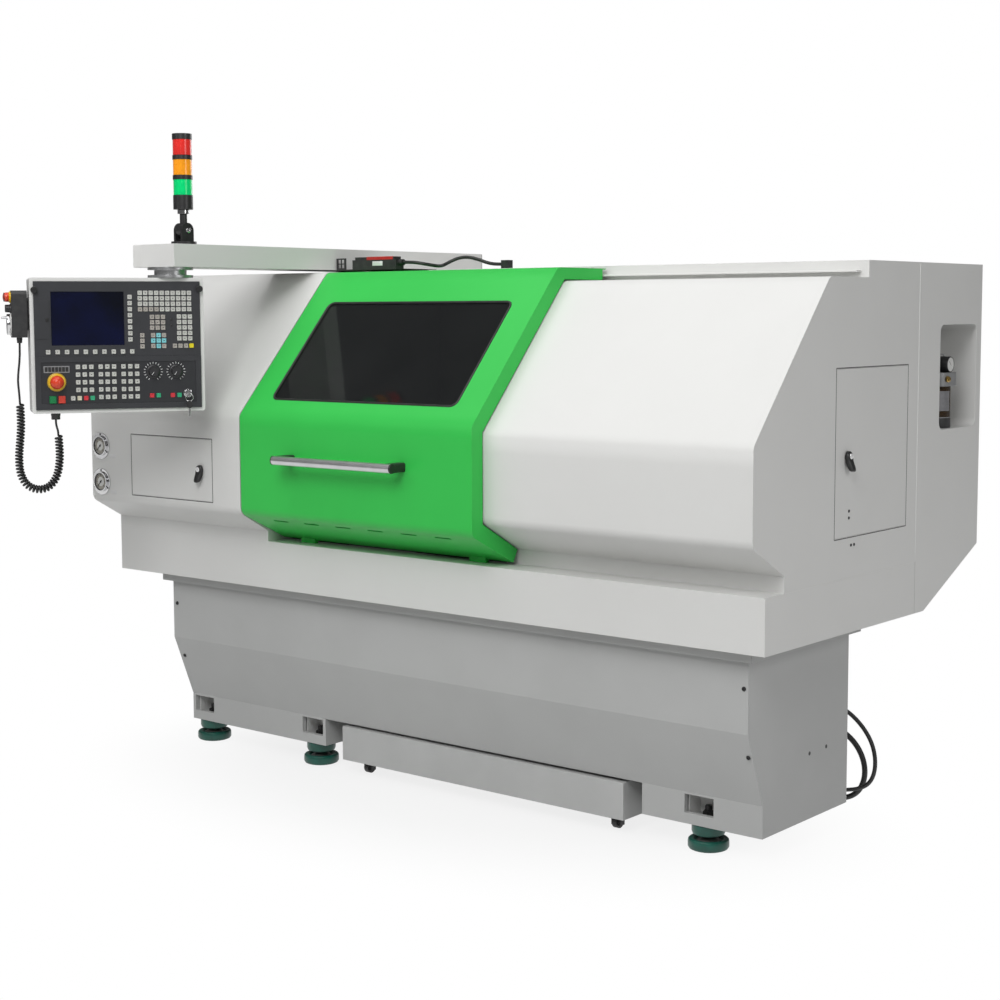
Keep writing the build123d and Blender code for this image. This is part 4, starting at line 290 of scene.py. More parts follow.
for name, (thickness, length, route) in free_leads.items():
    lead = soft_line(name + "_line", [at(*place) for place in route], thickness, 12)
    lead.data.materials.append(cable_rubber)
    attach(lead, "frame")
    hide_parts(name)


# Stand: a welded sheet-steel base with a folded front panel, both in mid-grey powder coat with a fine orange
# peel. Four black button-head screws hold the panel, and two drilled holes in the right end are open.
def dress(material, *names):
    """Give CAD pieces a finish."""
    for name in names:
        for slot in node[name].material_slots:
            slot.material = material


def shape_of(name, mesh, material, body):
    """Turn built faces into a smooth piece with a finish that moves with a body."""
    bmesh.ops.remove_doubles(mesh, verts=mesh.verts, dist=1e-6)
    bmesh.ops.recalc_face_normals(mesh, faces=mesh.faces)
    data = bpy.data.meshes.new(name)
    mesh.to_mesh(data)
    mesh.free()
    data.polygons.foreach_set("use_smooth", [True] * len(data.polygons))
    data.set_sharp_from_angle(angle=radians(33))
    shape = bpy.data.objects.new(name, data)
    bpy.context.collection.objects.link(shape)
    for one in material if isinstance(material, list) else [material]:
        data.materials.append(one)
    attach(shape, body)
    return shape


def turned(name, profile, places, material, body, sides=40):
    """A lathe-turned form: (radius, height) steps in mm about an axis, once at each (origin, axis) place."""
    mesh = bmesh.new()
    for origin, axis in places:
        axis = Vector(axis).normalized()
        across = axis.orthogonal().normalized()
        upright = axis.cross(across)
        rings = []
        for radius, height in profile:
            centre = origin + axis * height / 1000
            if radius == 0:
                rings.append([mesh.verts.new(centre)] * sides)
            else:
                rings.append([
                    mesh.verts.new(centre + (across * cos(2 * pi * k / sides) + upright * sin(2 * pi * k / sides))
                                   * radius / 1000)
                    for k in range(sides)])
        for low, high in zip(rings, rings[1:]):
            for k in range(sides):
                corners = [low[k], low[(k + 1) % sides], high[(k + 1) % sides], high[k]]
                corners = list(dict.fromkeys(corners))
                if len(corners) > 2:
                    mesh.faces.new(corners)
    return shape_of(name, mesh, material, body)


# Its edges take a lighter grey: a painted highlight, with some wear.
stand_paint = finish("stand_paint", (0.49, 0.495, 0.49), (0.46, 0.465, 0.46), (0.46, 0.12), (3, 900, 0.05),
                     edge=1.5, wear_and_highlight=(0.60, 0.605, 0.60))
dress(stand_paint, "machine_base", "base_front_panel")
black_oxide = finish("black_oxide", (0.015, 0.015, 0.016), (0.03, 0.03, 0.03), (0.38, 0.15), (60, 900, 0.03),
                     metal=0.4)
front = Vector((0, -1, 0))
low_panel_out = Vector((0, -0.9355, -0.3533))
panel_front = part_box("base_front_panel")[0][1]
turned("panel_screws", [(0, 0), (6.2, 0), (6.2, 1.2), (5.0, 3.2), (2.9, 4.2), (2.7, 4.2), (2.5, 1.8), (0, 1.6)], [
    (Vector((-1.0578, panel_front, 0.4777)), front), (Vector((1.1398, panel_front, 0.4818)), front),
    (at(-1041, 88, 298), low_panel_out), (at(1153, 88, 298), low_panel_out),
], black_oxide, "frame", sides=24)
base_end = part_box("machine_base")[1][0]
turned("end_holes", [(0, 0), (5.5, 0), (5.5, 0.4), (3.8, 0.4), (3.4, 0.1), (0, 0.1)], [
    (Vector((base_end, 0.066, 0.2653)), (1, 0, 0)), (Vector((base_end, 0.1562, 0.2669)), (1, 0, 0)),
], black_oxide, "frame", sides=24)

# Cable glands on the stand's back: moulded black nylon nuts with a soft grip inside. They screw into the wall
# and hold the pump's two leads where these go through it.
nylon = finish("black_nylon", (0.02, 0.02, 0.021), (0.03, 0.03, 0.03), (0.45, 0.1), (50, 1200, 0.03))
for name, spots, size in (("lead_glands", [(1080, 330), (1098, 84)], 11.6),
                          ("conduit_glands", [(1050, 262), (1042, 72)], 13.6)):
    turned(name, [(size - 4, 0), (size, 0), (size, 9), (size - 1.5, 11), (size - 2.5, 14.2), (size - 4.6, 14.2)],
           [(at(x, 593, z), (0, 1, 0)) for x, z in spots], nylon, "frame", sides=12)

# Levelling feet: dished cast pads and round cups in dark green enamel, with a steel boss in the dish.
# Blackened studs screw through the plinths, and a nut above the plinth's floor locks each one.
foot_enamel = finish("foot_enamel", (0.006, 0.105, 0.075), (0.008, 0.075, 0.055), (0.34, 0.15), (30, 500, 0.12),
                     edge=1.2)
boss_steel = finish("boss_steel", (0.22, 0.215, 0.21), (0.16, 0.155, 0.15), (0.42, 0.12), (40, 700, 0.03),
                    metal=0.8)
foot_spots = [(Vector((x, y, 0)), plumb) for x in (-1.0275, -0.5145, 0.9565) for y in (-0.0835, 0.2715)]
pads = turned("foot_pads", [
    (0, 0.1), (47, 0.1), (52.6, 2.4), (56, 8), (56, 22), (54.8, 26.6), (51.5, 29.6), (46, 30.4), (40.5, 28.6),
    (37, 23), (0, 21)], foot_spots, foot_enamel, "frame", sides=56)
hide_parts("levelling_feet")
turned("foot_bosses", [(10, 20.6), (35, 20.6), (30, 26), (20, 33), (14, 40), (10, 41)],
       foot_spots, boss_steel, "frame")
turned("foot_cups", [
    (20, 71.6), (44, 71.6), (46, 69.4), (46, 50), (43.4, 43), (38, 39.4), (26, 39), (20, 44), (20, 71.6)],
    foot_spots, foot_enamel, "frame")
turned("foot_studs", [(0, 21.5), (9.8, 21.5), (9.8, 117.5), (8, 119.6), (0, 119.6)],
       foot_spots, black_oxide, "frame", sides=24)
turned("foot_nuts", [(9.9, 88.2), (17, 88.2), (17, 102), (14.6, 104), (9.9, 104)],
       foot_spots, black_oxide, "frame", sides=6)

# Pocket linings: thin folded boxes in light primer, welded behind the three openings in the front of the plinths.
# Each one closes off the space round a foot's upper nut.
primer = finish("pocket_primer", (0.80, 0.80, 0.79), (0.70, 0.70, 0.69), (0.55, 0.1), (12, 600, 0.05))
lining_sheet, lining_floor, lining_roof = 0.0015, 0.0883, 0.1545
lining_front, lining_back = -0.1150, -0.0575
mesh = bmesh.new()
for left, right in ((-1.0609, -0.9761), (-0.5459, -0.4611), (0.9141, 0.9989)):
    skins = []
    for grown in (0, lining_sheet):
        low, high = lining_floor, lining_roof + grown
        outline = ((left - grown, low), (left - grown, high), (right + grown, high), (right + grown, low))
        skins.append([
            [mesh.verts.new((x, y, z)) for x, z in outline] for y in (lining_front, lining_back + grown)])
    (near, far), (near_outer, far_outer) = skins
    mesh.faces.new(far)
    mesh.faces.new(far_outer)
    for k in range(3):
        mesh.faces.new([near[k], near[k + 1], far[k + 1], far[k]])
        mesh.faces.new([near_outer[k], near_outer[k + 1], far_outer[k + 1], far_outer[k]])
        mesh.faces.new([near[k], near[k + 1], near_outer[k + 1], near_outer[k]])
    for k in (0, 3):
        mesh.faces.new([near[k], far[k], far_outer[k], near_outer[k]])
    mesh.faces.new([far[0], far[3], far_outer[3], far_outer[0]])
shape_of("pocket_linings", mesh, primer, "frame")

# Coolant tank: a folded sheet tank in the stand's grey that rolls out on black casters.
# Its edges are painted lighter all round, partly as scuffing and partly as a painted highlight.
tank_paint = finish("tank_paint", (0.53, 0.535, 0.53), (0.485, 0.49, 0.485), (0.5, 0.15), (5, 800, 0.06),
                    edge=1.5, wear_and_highlight=(0.62, 0.625, 0.62))
caster_top, caster_black = 0.0405, (0.02, 0.02, 0.021)
tree = tank_paint.node_tree
tank_place = tree.nodes.new("ShaderNodeTexCoord")
tank_height = tree.nodes.new("ShaderNodeSeparateXYZ")
tree.links.new(tank_place.outputs["Object"], tank_height.inputs["Vector"])
on_caster = number_from(tree, "LESS_THAN", tank_height.outputs["Z"], caster_top)
tank_colour = tree.nodes["Principled BSDF"].inputs["Base Color"]
sheet_colour = tank_colour.links[0].from_socket
tree.links.new(colour_between(tree, on_caster, sheet_colour, caster_black), tank_colour)
dress(tank_paint, "coolant_tank")

# Covers, chip tray, arm and hatches: bent sheet steel in a light warm-grey powder coat with a satin orange peel.
# The large covers are folded over a wide former, so their bends take the light in a broad soft band.
former_radius = 0.095
slant_up = Vector((0, 0.661681, 0.749785))
rearward = Vector((0, 1, 0))
same_side = 0.8
wide_bend, given, result = shading_group(
    "wide_bend",
    [("Normal", "NodeSocketVector", None), ("Corner", "NodeSocketVector", None),
     ("Along", "NodeSocketVector", None), ("Outward", "NodeSocketVector", None),
     ("Radius", "NodeSocketFloat", former_radius), ("Half width", "NodeSocketFloat", former_radius / 3)],
    [("Normal", "NodeSocketVector")],
)
bent_place = wide_bend.nodes.new("ShaderNodeTexCoord")
skin = wide_bend.nodes.new("ShaderNodeNewGeometry")
half_width, radius = given.outputs["Half width"], given.outputs["Radius"]
from_corner = vector_from(wide_bend, "SUBTRACT", bent_place.outputs["Object"], given.outputs["Corner"])
along_bend = vector_from(wide_bend, "DOT_PRODUCT", from_corner, given.outputs["Along"])
lower_end = number_from(wide_bend, "MULTIPLY", half_width, -1.0)
held = number_from(wide_bend, "MINIMUM", number_from(wide_bend, "MAXIMUM", along_bend, lower_end), half_width)
squares = [number_from(wide_bend, "MULTIPLY", side, side) for side in (radius, held)]
depth = number_from(wide_bend, "SQRT", number_from(wide_bend, "SUBTRACT", *squares))
outward_share = vector_from(wide_bend, "MULTIPLY", given.outputs["Outward"], depth)
along_share = vector_from(wide_bend, "MULTIPLY", given.outputs["Along"], held)
soft_normal = vector_from(wide_bend, "NORMALIZE", vector_from(wide_bend, "ADD", outward_share, along_share))
likeness = vector_from(wide_bend, "DOT_PRODUCT", skin.outputs["Normal"], soft_normal)
outer_skin = number_from(wide_bend, "GREATER_THAN", likeness, same_side)
in_band = number_from(wide_bend, "LESS_THAN", number_from(wide_bend, "ABSOLUTE", along_bend), half_width)
flat_input, bent_input, normal_output = 4, 5, 1
choice = wide_bend.nodes.new("ShaderNodeMix")
choice.data_type = "VECTOR"
wide_bend.links.new(number_from(wide_bend, "MULTIPLY", outer_skin, in_band), choice.inputs["Factor"])
wide_bend.links.new(given.outputs["Normal"], choice.inputs[flat_input])
wide_bend.links.new(soft_normal, choice.inputs[bent_input])
wide_bend.links.new(choice.outputs[normal_output], result.inputs["Normal"])


def fold_over_former(material, *bends):
    """Spread the shading normal of each bend of a sheet, at a corner between the directions below and above it,
    over the former's radius.
    """
    tree = material.node_tree
    relief = tree.nodes["Bump"]
    for corner, below, above in bends:
        along = (below + above).normalized()
        fold = tree.nodes.new("ShaderNodeGroup")
        fold.node_tree = wide_bend
        fold.inputs["Corner"].default_value = corner
        fold.inputs["Along"].default_value = along
        fold.inputs["Outward"].default_value = (0, -along.z, along.y)
        fold.inputs["Radius"].default_value = former_radius
        fold.inputs["Half width"].default_value = former_radius * sin(along.angle(below))
        tree.links.new(relief.inputs["Normal"].links[0].from_socket, fold.inputs["Normal"])
        tree.links.new(fold.outputs["Normal"], relief.inputs["Normal"])


# Edges take a lighter grey: a painted highlight, with some wear.
cover_paint = finish("cover_paint", (0.735, 0.735, 0.72), (0.715, 0.715, 0.70), (0.44, 0.12), (2.5, 750, 0.045),
                     edge=1.5, wear_and_highlight=(0.80, 0.80, 0.785))
dress(cover_paint, "front_access_door", "end_access_door", "rear_cabinet", "chip_tray", "arm_beam",
      "pendant_housing")
head_bends = ((at(0, -113, 1132), plumb, slant_up), (at(0, 271.77, 1568), slant_up, rearward))
tail_bends = ((at(0, -63, 1094), plumb, slant_up), (at(0, 321.77, 1530), slant_up, rearward))
for name, bends in (("headstock_cover", head_bends), ("tail_cover", tail_bends)):
    folded_paint = cover_paint.copy()
    folded_paint.name = name + "_paint"
    fold_over_former(folded_paint, *bends)
    dress(folded_paint, name)
for name, body, spots in (("end_hatch_screws", "end_hatch", ((423, 913), (423, 895))),
                          ("end_cover_screws", "frame", ((437, 821), (454, 821)))):
    turned(name, [(0, 0), (4.2, 0), (4.2, 0.9), (2.8, 2.0), (0, 2.3)],
           [(at(1250, y, z), (1, 0, 0)) for y, z in spots], black_oxide, body, sides=20)


# Access hatches: a thin black strip lies on the covers round each hatch as painted shade of the gap, and shows as
# a thin dark line.
# A raised strip in a lighter paint runs along the joint between the tail cover and the cabinet as a painted
# highlight of the seam's edge.
def rounded(width, height, corner, inset):
    """Corners of a rounded rectangle about its middle, in mm, drawn in by an inset."""
    least_corner, corner_steps = 0.05, 4
    corner = max(corner - inset, least_corner)
    points = []
    for quarter, (across, up) in enumerate(((1, 1), (-1, 1), (-1, -1), (1, -1))):
        for step in range(corner_steps + 1):
            angle = (quarter + step / corner_steps) * pi / 2
            points.append((across * (width / 2 - inset - corner) + corner * cos(angle),
                           up * (height / 2 - inset - corner) + corner * sin(angle)))
    return points


def plates(name, sizes, levels, places, material, body):
    """Rounded flat forms: (width, height, corner) drawn in at each (inset, lift), at (origin, right, out) places.
    A place may name the number of its finish as a fourth value."""
    mesh = bmesh.new()
    for place in places:
        origin, across, out = place[:3]
        across, out = Vector(across).normalized(), Vector(out).normalized()
        upright = out.cross(across)
        rings = [
            [mesh.verts.new(origin + (across * x + upright * y + out * lift) / 1000)
             for x, y in rounded(*sizes, inset)]
            for inset, lift in levels]
        made = [mesh.faces.new(rings[0][::-1]), mesh.faces.new(rings[-1])]
        for low, high in zip(rings, rings[1:]):
            for k in range(len(low)):
                made.append(mesh.faces.new([low[k], low[(k + 1) % len(low)], high[(k + 1) % len(high)], high[k]]))
        if len(place) > 3:
            for face in made:
                face.material_index = place[3]
    return shape_of(name, mesh, material, body)


# Painted shade: black strips that stand in for the shadow in the gaps round the hatches.
gap_shade_width, gap_shade_away = 2.2, 0.8
gap_shade_levels = [(0, 0), (0, 0.1), (0.1, 0.2)]
for name, origin, across, out, wide, tall in (
    ("front_hatch_gap_shade", at(-853, -113, 954), Vector((1, 0, 0)), Vector((0, -1, 0)), 386, 194),
    ("end_hatch_gap_shade", at(1250, 549.5, 1067.5), Vector((0, 1, 0)), Vector((1, 0, 0)), 405, 447),
):
    gap = gap_shade_away + gap_shade_width / 2
    for run, way, aside_way, length, apart in (("_level", across, plumb, wide, tall),
                                               ("_upright", plumb, across, tall, wide)):
        places = [(origin + aside_way * side * (apart / 2 + gap) / 1000, way, out) for side in (-1, 1)]
        plates(name + run, (length + 2 * gap, gap_shade_width, 0.5), gap_shade_levels, places, cable_rubber, "frame")
# Painted highlight: a strip lighter than the covers' paint marks the lit edge of the seam.
seam_highlight = finish("seam_highlight_paint", (0.80, 0.80, 0.79), (0.76, 0.76, 0.75), (0.4, 0.1), (30, 800, 0.02))
plates("cabinet_seam_highlight", (820, 2.6, 1.2), [(0, 0), (0, 0.3), (0.6, 0.9)],
       [(at(1250, 817, 1163), (0, 0, 1), (1, 0, 0))], seam_highlight, "frame")

# The arm's back end is closed by a pressed plastic cap, and a painted folded duct runs along its left side.
# The duct carries the pendant's wires and makes the arm as broad as it looks from the front.
arm_tall, arm_level = 68, 1612
plates("arm_duct", (1414, arm_tall, 2), [(0, 0), (0, 38), (1, 39)],
       [(at(-738, 400, arm_level), (0, 1, 0), (-1, 0, 0))], cover_paint, "frame")
plates("arm_cap", (150, arm_tall, 3), [(0, 0), (0, 2), (1.5, 3.5)],
       [(at(-663, 1107, arm_level), (-1, 0, 0), (0, 1, 0))], nylon, "frame")

# Castings: bed, headstock, carriage and tailstock in grey iron. Their working faces are ground, and a film of
# oil keeps them dark.
# Edges take a lighter grey: rubbed bare iron, and a painted highlight.
grey_iron = finish("grey_iron", (0.20, 0.205, 0.21), (0.13, 0.135, 0.14), (0.42, 0.25), (14, 260, 0.12),
                   metal=0.75, edge=1.5, wear_and_highlight=(0.36, 0.365, 0.37))
dress(grey_iron, "bed", "headstock_housing", "saddle", "cross_slide", "tailstock_body")

# Spindle, chuck, turret, screw and quill: bare steel, turned and ground. It shows the fine rings that the
# tool leaves round the axis.
rings_of_tool, given, result = shading_group(
    "turning_rings",
    [("Pitch", "NodeSocketFloat", 900.0)],
    [("Height", "NodeSocketFloat")],
)
spot = rings_of_tool.nodes.new("ShaderNodeTexCoord")
stretched = vector_from(rings_of_tool, "MULTIPLY", spot.outputs["Object"], (1.0, 0.02, 0.02))
lines = rings_of_tool.nodes.new("ShaderNodeTexNoise")
rings_of_tool.links.new(stretched, lines.inputs["Vector"])
rings_of_tool.links.new(given.outputs["Pitch"], lines.inputs["Scale"])
rings_of_tool.links.new(lines.outputs["Fac"], result.inputs["Height"])


def machined(name, colour, patch, gloss, pitch, depth):
    """Bare turned metal: a mottled sheen with the tool's rings across it."""
    metal = finish(name, colour, patch, gloss, (20, 700, depth), metal=1.0, edge=0.8)
    cut = metal.node_tree.nodes.new("ShaderNodeGroup")
    cut.node_tree = rings_of_tool
    cut.inputs["Pitch"].default_value = pitch
    relief = metal.node_tree.nodes["Bump"]
    metal.node_tree.links.new(cut.outputs["Height"], relief.inputs["Height"])
    return metal


turned_steel = machined("turned_steel", (0.50, 0.505, 0.51), (0.40, 0.405, 0.41), (0.30, 0.18), 900, 0.02)
dress(turned_steel, "spindle", "spindle_pulley", "motor_pulley", "chuck_body", "chuck_jaw_1", "chuck_jaw_2",
      "chuck_jaw_3", "tool_turret", "z_screw", "quill", "tailstock_handwheel", "spindle_bearings", "arm_coupling")

# Motors: cast cases in black enamel. The finned one stands on two feet behind the headstock and turns the spindle
# through a moulded rubber belt, and the other turns the long screw.
motor_enamel = finish("motor_enamel", (0.018, 0.018, 0.02), (0.03, 0.03, 0.032), (0.4, 0.15), (12, 500, 0.08),
                      edge=1.5)
dress(motor_enamel, "spindle_motor", "z_screw_drive")
dress(cable_rubber, "drive_belt")

# Pressure gauges: chromed flange cases with a white enamel dial, printed ticks, a black needle and a flat glass.
# Three screws hold each flange to the cover, with a small blank label below.
chrome = finish("bright_chrome", (0.62, 0.62, 0.62), (0.55, 0.55, 0.56), (0.12, 0.08), (30, 600, 0.01), metal=1.0,
                edge=0.6)
dress(chrome, "pressure_gauges")
dial_white = finish("dial_white", (0.72, 0.72, 0.70), (0.68, 0.68, 0.66), (0.5, 0.1), (30, 900, 0.01))
dial_black = finish("dial_black", (0.012, 0.012, 0.012), (0.018, 0.018, 0.018), (0.5, 0.1), (40, 900, 0.01))
label_white = finish("blank_label", (0.74, 0.74, 0.74), (0.70, 0.70, 0.70), (0.45, 0.1), (40, 900, 0.01))
gauge_spots = [at(-1200, -113, 890), at(-1200, -113, 1008)]
gauge_places = [(spot, front) for spot in gauge_spots]
turned("gauge_dials", [(0, 5.2), (28.6, 5.2), (28.6, 5.9), (0, 6.0)], gauge_places, dial_white, "frame", sides=48)
scale_band = finish("scale_band", (0.40, 0.38, 0.33), (0.36, 0.34, 0.30), (0.5, 0.1), (40, 900, 0.01))
turned("gauge_scale", [(15.5, 5.9), (15.5, 6.05), (25.6, 6.05), (25.6, 5.9)], gauge_places, scale_band, "frame",
       sides=48)
turned("gauge_inner_ring", [(28.0, 5.6), (26.8, 6.2), (27.2, 8.6), (29.0, 9.4), (29.0, 5.6)],
       gauge_places, dial_black, "frame", sides=48)


def slips(name, outlines, rise, material, body):
    """Thin printed or stuck-on slips: four-cornered outlines, each as thick as the rise."""
    mesh = bmesh.new()
    for corners in outlines:
        base = [mesh.verts.new(corner) for corner in corners]
        top = [mesh.verts.new(corner + rise) for corner in corners]
        mesh.faces.new(base[::-1])
        mesh.faces.new(top)
        for k in range(4):
            mesh.faces.new([base[k], base[(k + 1) % 4], top[(k + 1) % 4], top[k]])
    return shape_of(name, mesh, material, body)


tick_level, tick_end, tick_step = 6.15, 25.5, 9
tick_outlines = []
for spot in gauge_spots:
    for tick in range(31):
        angle = radians(225 - tick_step * tick)
        long, half = (8.5, 0.9) if tick % 5 == 0 else (4.5, 0.5)
        out = Vector((cos(angle), 0, sin(angle)))
        side = Vector((-sin(angle), 0, cos(angle))) * half / 1000
        dial = spot + front * tick_level / 1000
        inner, outer = dial + out * (tick_end - long) / 1000, dial + out * tick_end / 1000
        tick_outlines.append([inner - side, outer - side, outer + side, inner + side])
slips("gauge_ticks", tick_outlines, front * 0.0002, dial_black, "frame")
plates("gauge_needles", (30, 2.4, 0.9), [(0, 0), (0, 0.5), (0.3, 0.8)], [
    (gauge_spots[0] + Vector((-0.0050, -0.0070, -0.0052)), (cos(radians(226)), 0, sin(radians(226))), front),
    (gauge_spots[1] + Vector((-0.0052, -0.0070, -0.0050)), (cos(radians(224)), 0, sin(radians(224))), front),
], dial_black, "frame")
turned("gauge_hubs", [(0, 6.1), (3.4, 6.1), (3.4, 8.0), (2.2, 8.8), (0, 9.0)], gauge_places, dial_black, "frame",
       sides=20)
flange_reach = 0.038
turned("gauge_screws", [(0, 4), (3.2, 4), (3.2, 4.9), (2.0, 6.0), (0, 6.2)], [
    (spot + Vector((cos(radians(angle)), 0, sin(radians(angle)))) * flange_reach, front)
    for spot in gauge_spots for angle in (90, 210, 330)], black_oxide, "frame", sides=16)
plates("gauge_labels", (33, 12, 1), [(0, 0), (0, 0.25), (0.2, 0.35)],
       [(spot + Vector((0.057, 0, -0.031)), (1, 0, 0), front) for spot in gauge_spots], label_white, "frame")

# Quarter-turn latches: black moulded swing levers with a chromed lock in the head. The stem goes through the
# hatch, and a steel cam on its back end turns behind the edge of the opening.
latch_black = finish("latch_black", (0.014, 0.014, 0.015), (0.024, 0.024, 0.024), (0.32, 0.12), (60, 900, 0.03),
                     edge=0.6)
lever_stations = (
    (15.5, 4.0, 0.4, 8.5), (13.0, 9.5, 0.4, 11.0), (8.0, 13.0, 0.4, 12.5), (0.0, 14.2, 0.4, 13.0),
    (-7.0, 13.8, 0.4, 14.5), (-14.0, 13.0, 0.4, 17.0), (-22.0, 12.2, 3.0, 20.5), (-30.0, 11.5, 7.0, 23.4),
    (-35.0, 9.5, 10.0, 24.5), (-37.5, 6.0, 13.5, 24.0))
lever_sides, squareness, lock_rise = 24, 0.6, plumb * 0.003
for body, latch, origin, out, across, cam_way in (
    ("front_latch", "front_door_latch", at(-711, -113, 954), front, Vector((1, 0, 0)), Vector((1, 0, 0))),
    ("end_latch", "end_door_latch", at(1250, 408, 1058), Vector((1, 0, 0)), Vector((0, 1, 0)), front),
):
    mesh = bmesh.new()
    rings = []
    for rise, half, low, high in lever_stations:
        ring = []
        for k in range(lever_sides):
            side, lift = cos(2 * pi * k / lever_sides), sin(2 * pi * k / lever_sides)
            side = half * copysign(abs(side) ** squareness, side)
            lift = (low + high) / 2 + (high - low) / 2 * copysign(abs(lift) ** squareness, lift)
            ring.append(mesh.verts.new(origin + (across * side + plumb * rise + out * lift) / 1000))
        rings.append(ring)
    mesh.faces.new(rings[0])
    mesh.faces.new(rings[-1][::-1])
    for high, low in zip(rings, rings[1:]):
        for k in range(lever_sides):
            mesh.faces.new([low[k], low[(k + 1) % lever_sides], high[(k + 1) % lever_sides], high[k]])
    lever = shape_of(body + "_lever", mesh, latch_black, body)
    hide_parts(latch)
    turned(body + "_lock", [(0, 12.4), (8.4, 12.4), (8.4, 14.4), (7.4, 15.2), (0, 15.3)],
           [(origin + lock_rise, out)], chrome, body, sides=32)
    plates(body + "_slot", (1.8, 6.5, 0.4), [(0, 15.2), (0, 15.4)], [(origin + lock_rise, across, out)],
           dial_black, body)
    turned(body + "_stem", [(0, -6.3), (10.8, -6.3), (10.8, 0.2), (0, 0.2)], [(origin, out)], latch_black, body,
           sides=32)
    plates(body + "_cam", (49, 18, 3), [(0.4, -6.4), (0, -6.0), (0, -3.8), (0.4, -3.4)],
           [(origin + cam_way * 0.0135, cam_way, out)], turned_steel, body)

# Sliding door: bent sheet in a bright green gloss coat. A black rubber seal runs round the window, and
# small screws on the roof edge hold the runner.
# Edges take a lighter green: a painted highlight.
door_paint = finish("door_paint", (0.040, 0.56, 0.085), (0.037, 0.53, 0.080), (0.40, 0.12), (2.5, 750, 0.045),
                    edge=1.5, wear_and_highlight=(0.06, 0.62, 0.11))
door_paint.node_tree.nodes["Principled BSDF"].inputs["Specular IOR Level"].default_value = 0.3
fold_over_former(door_paint, *head_bends)
dress(door_paint, "door_panel")
slant_out = Vector((0, -0.749785, 0.661681))
window_middle = at(-67, 58.6831, 1326.54)


def wire_loop(name, places, radius, smoothness, material, body):
    """A closed loop of round wire or cord through places."""
    line = bpy.data.curves.new(name, "CURVE")
    line.dimensions = "3D"
    line.bevel_depth = radius
    line.bevel_resolution = smoothness
    loop = line.splines.new("POLY")
    loop.points.add(len(places) - 1)
    for point, place in zip(loop.points, places):
        point.co = (*place, 1)
    loop.use_cyclic_u = True
    loop.use_smooth = True
    wire = bpy.data.objects.new(name, line)
    bpy.context.collection.objects.link(wire)
    wire.data.materials.append(material)
    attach(wire, body)


seal_radius, seal_sunk = 0.0042, 1.2
wire_loop("window_seal", [
    window_middle + (Vector((1, 0, 0)) * x + slant_up * y - slant_out * seal_sunk) / 1000
    for x, y in rounded(738, 391, 24, 3.2)], seal_radius, 3, cable_rubber, "door")
turned("door_top_screws", [(0, 0), (4.5, 0), (4.5, 1.0), (3.0, 2.4), (0, 2.8)],
       [(at(x, 486, 1568), (0, 0, 1)) for x in (-500, -380, -260, -140, -20, 100, 220, 360)],
       chrome, "door", sides=20)

# Door window: a pane of dark tinted polycarbonate, smooth on both faces. It is clamped behind the door's sheet
# and lets the chuck and the carriage show through.
window_tint = finish("window_tint", (0.010, 0.011, 0.012), (0.014, 0.015, 0.016), (0.06, 0.01),
                     (4, 300, 0.0004))
window_tint.node_tree.nodes["Principled BSDF"].inputs["Alpha"].default_value = 0.62
dress(window_tint, "door_window")

# Door handle: a satin anodised tube with black end caps, on two black moulded legs that stand straight out of
# the door behind its ends. The legs are screwed on from inside the door.
anodised = machined("satin_anodised", (0.62, 0.62, 0.63), (0.56, 0.56, 0.57), (0.34, 0.12), 1400, 0.006)
bracket_black = finish("bracket_black", (0.016, 0.016, 0.017), (0.026, 0.026, 0.026), (0.4, 0.12),
                       (60, 900, 0.04), edge=1.5)
tube_left, tube_length, tube_radius, leg_width = -322, 473, 13.5, 30
tube_right, tube_bore = tube_left + tube_length, 10.5
tube_y, door_y, tube_z = -170, -113, 1008
tube = turned("handle_tube", [
    (tube_radius, 0), (tube_radius, tube_length), (tube_bore, tube_length), (tube_bore, 0), (tube_radius, 0)],
    [(at(tube_left, tube_y, tube_z), (1, 0, 0))], anodised, "door", sides=48)
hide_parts("door_handle")
legs = plates("handle_legs", (leg_width, 2 * tube_radius, 6), [(0, 0), (0, door_y - tube_y)], [
    (at(x, door_y, tube_z), (1, 0, 0), front)
    for x in (tube_left + leg_width / 2, tube_right - leg_width / 2)], bracket_black, "door")
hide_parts("handle_brackets")
cap_radius = tube_radius + 0.3
turned("handle_caps", [(0, -1), (cap_radius, -1), (cap_radius, 2.4), (12.4, 3.8), (0, 4.2)], [
    (at(tube_left, tube_y, tube_z), (-1, 0, 0)), (at(tube_right, tube_y, tube_z), (1, 0, 0))],
    bracket_black, "door")

# Lubricator: grey cast pump head with a round gauge, brass fitting and wire bail, over a brown clear reservoir
# on a black moulded base. A blank plate is stuck on the reservoir.
head_grey = finish("pump_head_grey", (0.30, 0.305, 0.31), (0.24, 0.245, 0.25), (0.4, 0.15), (30, 500, 0.06),
                   metal=0.5, edge=1.2)
dress(head_grey, "lube_pump")
oil_brown = finish("oil_reservoir", (0.085, 0.045, 0.012), (0.05, 0.026, 0.008), (0.12, 0.06), (20, 300, 0.01))
oil_brown.node_tree.nodes["Principled BSDF"].inputs["Transmission Weight"].default_value = 0.55
dress(oil_brown, "lube_reservoir")
brass = finish("lube_brass", (0.62, 0.42, 0.14), (0.50, 0.33, 0.10), (0.28, 0.15), (40, 700, 0.02), metal=1.0,
               edge=0.6)
lube = at(1188, 1050, 0)
turned("lube_base_cup", [(40, 0.5), (46.4, 0.5), (46.6, 3), (46.6, 27), (45.6, 31.6), (40, 31.6)],
       [(lube + plumb * 1.100, (0, 0, 1))], nylon, "frame", sides=48)
lube_gauge = lube + plumb * 1.285
